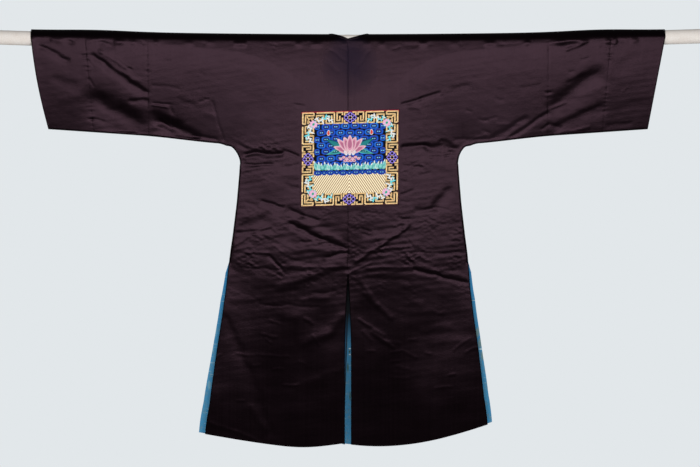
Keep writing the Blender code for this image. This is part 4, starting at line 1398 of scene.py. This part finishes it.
bm = bmesh.new()
rollers = 6
roller_pitch = (2 * FIELD - 0.022) / (rollers - 1)
for i in range(rollers):
    middle = (SEA_FOOT + ROLLERS_FOOT) / 2 + 0.0008 * math.sin(2.2 * i)
    p = (i - (rollers - 1) / 2) * roller_pitch
    tones = (ROYAL, NAVY, ROYAL, NAVY)
    patch(bm, p, middle, 0.0245, 0.0155, tones, 0.04 * math.sin(4 * i), level=0.0008)
    for side in (-1, 1):
        knot_stitch(bm, p + side * 0.0030, middle, 0.0036, PALE_CYAN, 0.0018)
    if i < rollers - 1:
        small_p = p + roller_pitch / 2
        patch(bm, small_p, middle, 0.0150, 0.0135, (ROYAL, NAVY, ROYAL), 0.0, level=0.0004)
        knot_stitch(bm, small_p, middle, 0.0036, PALE_CYAN, 0.0014)
needlework("badge_rollers", bm)

stripes = Finish(
    "laid_gold_stripes", Roughness=0.40, Specular_IOR_Level=0.6, Specular_Tint=(1.0, 0.88, 0.60, 1.0)
)
stripe_spot = stripes.node("SeparateXYZ", None, {0: stripes.place("flat")})
stripe_up = stripe_spot.sibling(1)
stripe_slant = stripe_spot.maths("ABSOLUTE", stripe_spot) * STRIPE_SLOPE
stripe_turn = (stripe_slant + stripe_up) * (2 * math.pi / STRIPE_PITCH)
stripe_strands = stripes.grain(stripes.place("flat", (1700, 1700, 1)), 2.0)
stripes.feed(
    Base_Color=stripes.blend(
        (stripe_turn.sine() * 0.5 + 0.5 + stripe_strands * 0.2).between(0.22, 0.62),
        dye(122, 62, 36), dye(255, 240, 200),
    ),
    Normal=stripes.bump(stripe_strands, 0.0003, 0.7),
)
bm = bmesh.new()
verts, across, along = grid_of(bm, 200, 60)
p = FIELD * (2 * across - 1)
q = STRIPES_FOOT + (ROLLERS_FOOT + 0.004 - STRIPES_FOOT) * along
wave = np.sin((np.abs(p) * STRIPE_SLOPE + q) * 2 * math.pi / STRIPE_PITCH)
set_places(verts, p, q, BADGE_THICKNESS + 0.0004 + 0.0003 * wave * np.clip(np.abs(p) / 0.004, 0, 1))
sew_piece("badge_stripes", bm, stripes)


# The lotus. An open flower in pinks on a stand of rose scrolls, with a pair of teal leaves and two
# coral buds, worked in long and short stitch over the clouds, the same on both sides.
PINK, ROSE, BLUSH = dye(226, 150, 178), dye(186, 108, 140), dye(246, 206, 214)
TEAL, DEEP_TEAL, MINT = dye(0, 128, 132), dye(0, 92, 100), dye(92, 200, 186)
CORAL, LIGHT_CORAL = dye(214, 30, 30), dye(246, 96, 72)
LOTUS_Q = 0.030

bm = bmesh.new()
for side in (-1, 1):
    upper, lower = (math.pi / 2 - side * (math.pi / 2 + turn) for turn in (-0.52, 0.28))
    patch(
        bm, side * 0.045, LOTUS_Q + 0.014, 0.066, 0.024, (DEEP_TEAL, TEAL, TEAL), upper, 0.9,
        sides=28, rise=0.0009, level=0.0006,
    )
    patch(
        bm, side * 0.041, LOTUS_Q - 0.010, 0.058, 0.020, (MINT, TEAL, DEEP_TEAL), lower, 0.9,
        sides=28, rise=0.0009, level=0.0007,
    )
    bud = (WHITE, CORAL, LIGHT_CORAL, CORAL)
    patch(bm, side * 0.062, LOTUS_Q + 0.046, 0.017, 0.0115, bud, math.pi / 2, 0.35, level=0.0008)
needlework("badge_lotus_leaves", bm)
bm = bmesh.new()
PETAL_COLUMNS = ("turn", "length", "narrow", "level")
PETALS = (
    (1.22, 0.050, 0.55, 0.0010),
    (0.74, 0.054, 0.5, 0.0014),
    (0.36, 0.048, 0.4, 0.0018),
    (0.0, 0.050, 0.4, 0.0022),
)
for row in PETALS:
    petal = dict(zip(PETAL_COLUMNS, row))
    reach = petal["length"] / 2
    for side in (-1, 1) if petal["turn"] else (1,):
        angle = math.pi / 2 - side * petal["turn"]
        p, q = reach * math.cos(angle), LOTUS_Q - 0.012 + reach * math.sin(angle)
        patch(
            bm, p, q, 2 * reach, 0.0225, (BLUSH, PINK, ROSE, ROSE), angle, petal["narrow"],
            sides=28, rise=0.0008, level=petal["level"],
        )
for side in (-1, 0, 1):
    angle = math.pi / 2 - side * 0.5
    patch(bm, side * 0.012, LOTUS_Q - 0.014, 0.016, 0.010, (WHITE, BLUSH), angle, 0.5, level=0.0022)
for i in range(7):
    q = LOTUS_Q - 0.029 - 0.002 * math.cos(i * math.pi)
    patch(bm, (i - 3) * 0.0085, q, 0.0115, 0.0095, (ROSE, BLUSH, PINK), level=0.0009)
for i in range(4):
    patch(bm, (i - 1.5) * 0.0085, LOTUS_Q - 0.037, 0.0105, 0.0080, (BLUSH, ROSE), level=0.0012)
needlework("badge_lotus", bm)


# Small flowers, knots and sprays over the fret. Pink blossoms at the inner corners, lavender
# quatrefoil knots at the middle of each side, and white and cyan sprays laid across the gold.
FLOWER_AT = 0.1060
BLOSSOM, LEAF_GREEN, CYAN = dye(252, 194, 226), dye(0, 184, 138), dye(122, 232, 242)
SPRAY_COLUMNS = ("along", "down", "turn", "size", "pale")
SPRAYS = (
    (88, 25, 200, 1.25, True),
    (72, 17, 150, 1.15, False),
    (58, 25, 205, 1.0, True),
)

bm = bmesh.new()
for side_p in (-1, 1):
    for side_q in (-1, 1):
        p, q = side_p * FLOWER_AT, side_q * (FLOWER_AT - 0.004)
        for i in range(8):
            angle = 2 * math.pi * i / 8 + 0.2
            tint = PALE_CYAN if i in (1, 5) else BLOSSOM
            petal_p, petal_q = p + 0.0074 * math.cos(angle), q + 0.0074 * math.sin(angle)
            patch(
                bm, petal_p, petal_q, 0.0100, 0.0070, (tint, BLOSSOM), angle, -0.2,
                sides=12, level=0.0022,
            )
        patch(bm, p, q, 0.0064, 0.0064, (LEAF_GREEN, LEAF_GREEN), sides=12, level=0.0030)
needlework("badge_blossoms", bm)

bm = bmesh.new()
for turn in range(4):
    for mirror in (-1, 1):
        for row in SPRAYS:
            spray = dict(zip(SPRAY_COLUMNS, row))
            pale = spray["pale"] == (mirror * (1 if turn % 2 else -1) > 0)
            heading = math.radians(spray["turn"])
            stem_p, stem_q = spray["along"] / 1000, spray["down"] / 1000
            for i in range(4):
                reach = (i - 1.5) * 0.0056 * spray["size"]
                side = 1 if i % 2 else -1
                along = stem_p + reach * math.cos(heading) - side * 0.0022 * math.sin(heading)
                down = stem_q - reach * math.sin(heading) - side * 0.0022 * math.cos(heading)
                start = on_side(turn, mirror, along, down)
                slant = heading + side * 0.8
                far = on_side(turn, mirror, along + math.cos(slant) * 0.001, down - math.sin(slant) * 0.001)
                angle = math.atan2(far[1] - start[1], far[0] - start[0])
                tint = (WHITE, WHITE) if pale else (CYAN, WHITE) if i % 3 == 0 else (CYAN, CYAN)
                patch(
                    bm, *start, 0.0130 * spray["size"], 0.0052, tint, angle, 0.4,
                    sides=12, rise=0.0008, level=0.0016,
                )
needlework("badge_sprays", bm)

lavender = Finish("lavender_cord", Base_Color=dye(166, 142, 250), Roughness=0.5)
KNOT_DOWN, KNOT_RING = 0.0182, 0.0050
rings, golden = [], []
for turn in range(4):
    for hole_turn in range(4):
        angle = hole_turn * math.pi / 2
        reach = 0.0122 if hole_turn % 2 == 0 else 0.0098
        along, down = reach * math.cos(angle), KNOT_DOWN - reach * math.sin(angle)
        ring = [
            on_side(turn, 1, along + KNOT_RING * math.cos(t), down + KNOT_RING * math.sin(t))
            for t in np.linspace(0, 2 * math.pi, 15)[:-1]
        ]
        rings.append(([(p, q, BADGE_THICKNESS + 0.0019) for p, q in ring], True))
        bow_turn = angle + math.pi / 4
        arc = []
        for t in np.linspace(-0.62, 0.62, 9) + bow_turn:
            spread = 0.0164 - 0.0030 * abs(math.sin(t))
            arc.append(on_side(turn, 1, spread * math.cos(t), KNOT_DOWN - spread * 0.86 * math.sin(t)))
        rings.append(([(p, q, BADGE_THICKNESS + 0.0016) for p, q in arc], False))
        turns = [bow_turn + t for t in (-0.6, 0, 0.6)]
        bits = [(0.0052 * math.cos(t), KNOT_DOWN - 0.0052 * math.sin(t)) for t in turns]
        golden.append(([(*on_side(turn, 1, a, d), BADGE_THICKNESS + 0.0014) for a, d in bits], False))
cord_piece("badge_knots", rings, 0.0012, lavender)
cord_piece("badge_knot_gold", golden, 0.0012, gold)


# The fastening. Five gilt ball buttons on flat straps, sewn to the left front, and five loops of
# satin cord on the right front that pass over them.
gilt = Finish("gilt_brass", Metallic=1.0, Roughness=0.28)
gilt_spots = gilt.grain(gilt.place(stretch=(900, 900, 900)), 3.0)
gilt.feed(
    Base_Color=gilt.blend(gilt_spots.between(0.45, 0.75), dye(222, 172, 92), dye(150, 104, 50)),
    Roughness=0.24 + gilt_spots * 0.2,
)
BALL_RADIUS, BALL_RISE = 0.0055, 0.0089
STRAP_LENGTH, STRAP_WIDTH, STRAP_HEIGHT = 0.042, 0.0050, 0.0020
STRAP_GAP = 0.0003
LOOP_RADIUS, LOOP_RING, LOOP_HALF_GAP = 0.0014, 0.0050, 0.0022
OUTWARDS = Matrix.Rotation(-math.pi / 2, 4, "X")


def cone_on_front(bm, y, z, radius_in, radius_out, depth):
    """A short round part of a button that stands straight out of the coat."""
    bmesh.ops.create_cone(
        bm, cap_ends=True, segments=20, radius1=radius_in, radius2=radius_out, depth=depth,
        matrix=Matrix.Translation((0, y, z)) @ OUTWARDS,
    )


for index, level in enumerate(BUTTON_HEIGHTS, start=1):
    face = float(wall_depth(np.array([0.0]), np.array([level]), FRONT, False)[0]) + CLOTH / 2
    bm = bmesh.new()
    middle = Matrix.Translation((0, face + BALL_RISE, level)) @ OUTWARDS
    bmesh.ops.create_uvsphere(bm, u_segments=28, v_segments=18, radius=BALL_RADIUS, matrix=middle)
    cone_on_front(bm, face + BALL_RISE / 2, level, 0.0019, 0.0016, BALL_RISE)
    cone_on_front(bm, face + STRAP_HEIGHT + STRAP_GAP, level, 0.0032, 0.0022, 0.0010)
    bmesh.ops.recalc_face_normals(bm, faces=bm.faces)
    finish_piece(f"button_{index}_ball", bm, gilt, [f"button_{index}"])

    bm = bmesh.new()
    bmesh.ops.create_cube(bm, size=1.0)
    bmesh.ops.scale(bm, verts=bm.verts, vec=(STRAP_LENGTH, STRAP_HEIGHT, STRAP_WIDTH))
    strap_middle = (STRAP_WIDTH / 2 - STRAP_LENGTH / 2, face + STRAP_HEIGHT / 2, level)
    bmesh.ops.translate(bm, verts=bm.verts, vec=strap_middle)
    bmesh.ops.bevel(bm, geom=bm.edges, offset=0.0007, segments=3, profile=0.5, affect="EDGES", material=-1)
    finish_piece(f"button_{index}_strap", bm, satin)

    low, high = face + LOOP_RADIUS, face + STRAP_HEIGHT + STRAP_GAP + LOOP_RADIUS
    opening = math.asin(LOOP_HALF_GAP / LOOP_RING)
    run = [(STRAP_LENGTH, low), (STRAP_LENGTH * 0.45, low + 0.0006)]
    route = [(x, y, level - LOOP_HALF_GAP) for x, y in run]
    for angle in np.linspace(opening, 2 * math.pi - opening, 25):
        route.append((LOOP_RING * math.cos(angle), high, level - LOOP_RING * math.sin(angle)))
    route += [(x, y, level + LOOP_HALF_GAP) for x, y in reversed(run)]
    bm = cords_along([(route, False)], LOOP_RADIUS, 3)
    bmesh.ops.recalc_face_normals(bm, faces=bm.faces)
    finish_piece(f"loop_{index}_cord", bm, satin, [f"loop_{index}"])


# The studio. A pale floor, a pale surround, and two wide soft lights that stand before and behind
# the coat at the height of its shoulders, so the satin shines above and falls dark below.
CAMERA_DISTANCE, VIEW_WIDTH = 8.0, 2.03
VIEW_X, VIEW_Z = 0.0058, -0.5554


def area_light(name, spot, size, power, target):
    lamp = bpy.data.lights.new(name, "AREA")
    lamp.shape = "RECTANGLE"
    lamp.size, lamp.size_y = size
    lamp.energy = power
    light = bpy.data.objects.new(name, lamp)
    light.location = spot
    light.rotation_euler = (Vector(target) - Vector(spot)).to_track_quat("-Z", "Y").to_euler()
    light.visible_camera = False
    bpy.context.scene.collection.objects.link(light)


area_light("key", (0.0, -2.8, -0.115), (2.75, 0.56), 68, (0.0, 0.0, 0.0))
area_light("fill", (0.0, 2.8, -0.115), (2.75, 0.56), 68, (0.0, 0.0, 0.0))

floor_finish = Finish("pale_floor", Roughness=0.9, Base_Color=(0.75, 0.75, 0.74, 1.0))
bm = bmesh.new()
bmesh.ops.create_circle(bm, cap_ends=True, segments=96, radius=1.9)
bmesh.ops.translate(bm, verts=bm.verts, vec=(0, 0, -1.62))
floor = new_object("floor", bm, floor_finish)

world = bpy.data.worlds.new("pale_surround")
world.use_nodes = True
nodes, links = world.node_tree.nodes, world.node_tree.links
seen, light = nodes["Background"], nodes.new("ShaderNodeBackground")
seen.inputs["Color"].default_value = dye(226, 231, 234)
light.inputs["Color"].default_value = dye(230, 234, 235)
light.inputs["Strength"].default_value = 0.2
ray, mix = nodes.new("ShaderNodeLightPath"), nodes.new("ShaderNodeMixShader")
links.new(ray.outputs["Is Camera Ray"], mix.inputs[0])
links.new(light.outputs[0], mix.inputs[1])
links.new(seen.outputs[0], mix.inputs[2])
links.new(mix.outputs[0], nodes["World Output"].inputs["Surface"])
bpy.context.scene.world = world
bpy.context.scene.view_settings.view_transform = "Standard"

lens = bpy.data.cameras.new("camera")
lens.lens = 36.0 * CAMERA_DISTANCE / VIEW_WIDTH
lens.clip_end = 50
camera = bpy.data.objects.new("camera", lens)
camera.location = (VIEW_X, -CAMERA_DISTANCE, VIEW_Z)
camera.rotation_euler = (math.pi / 2, 0, 0)
bpy.context.scene.collection.objects.link(camera)
bpy.context.scene.camera = camera
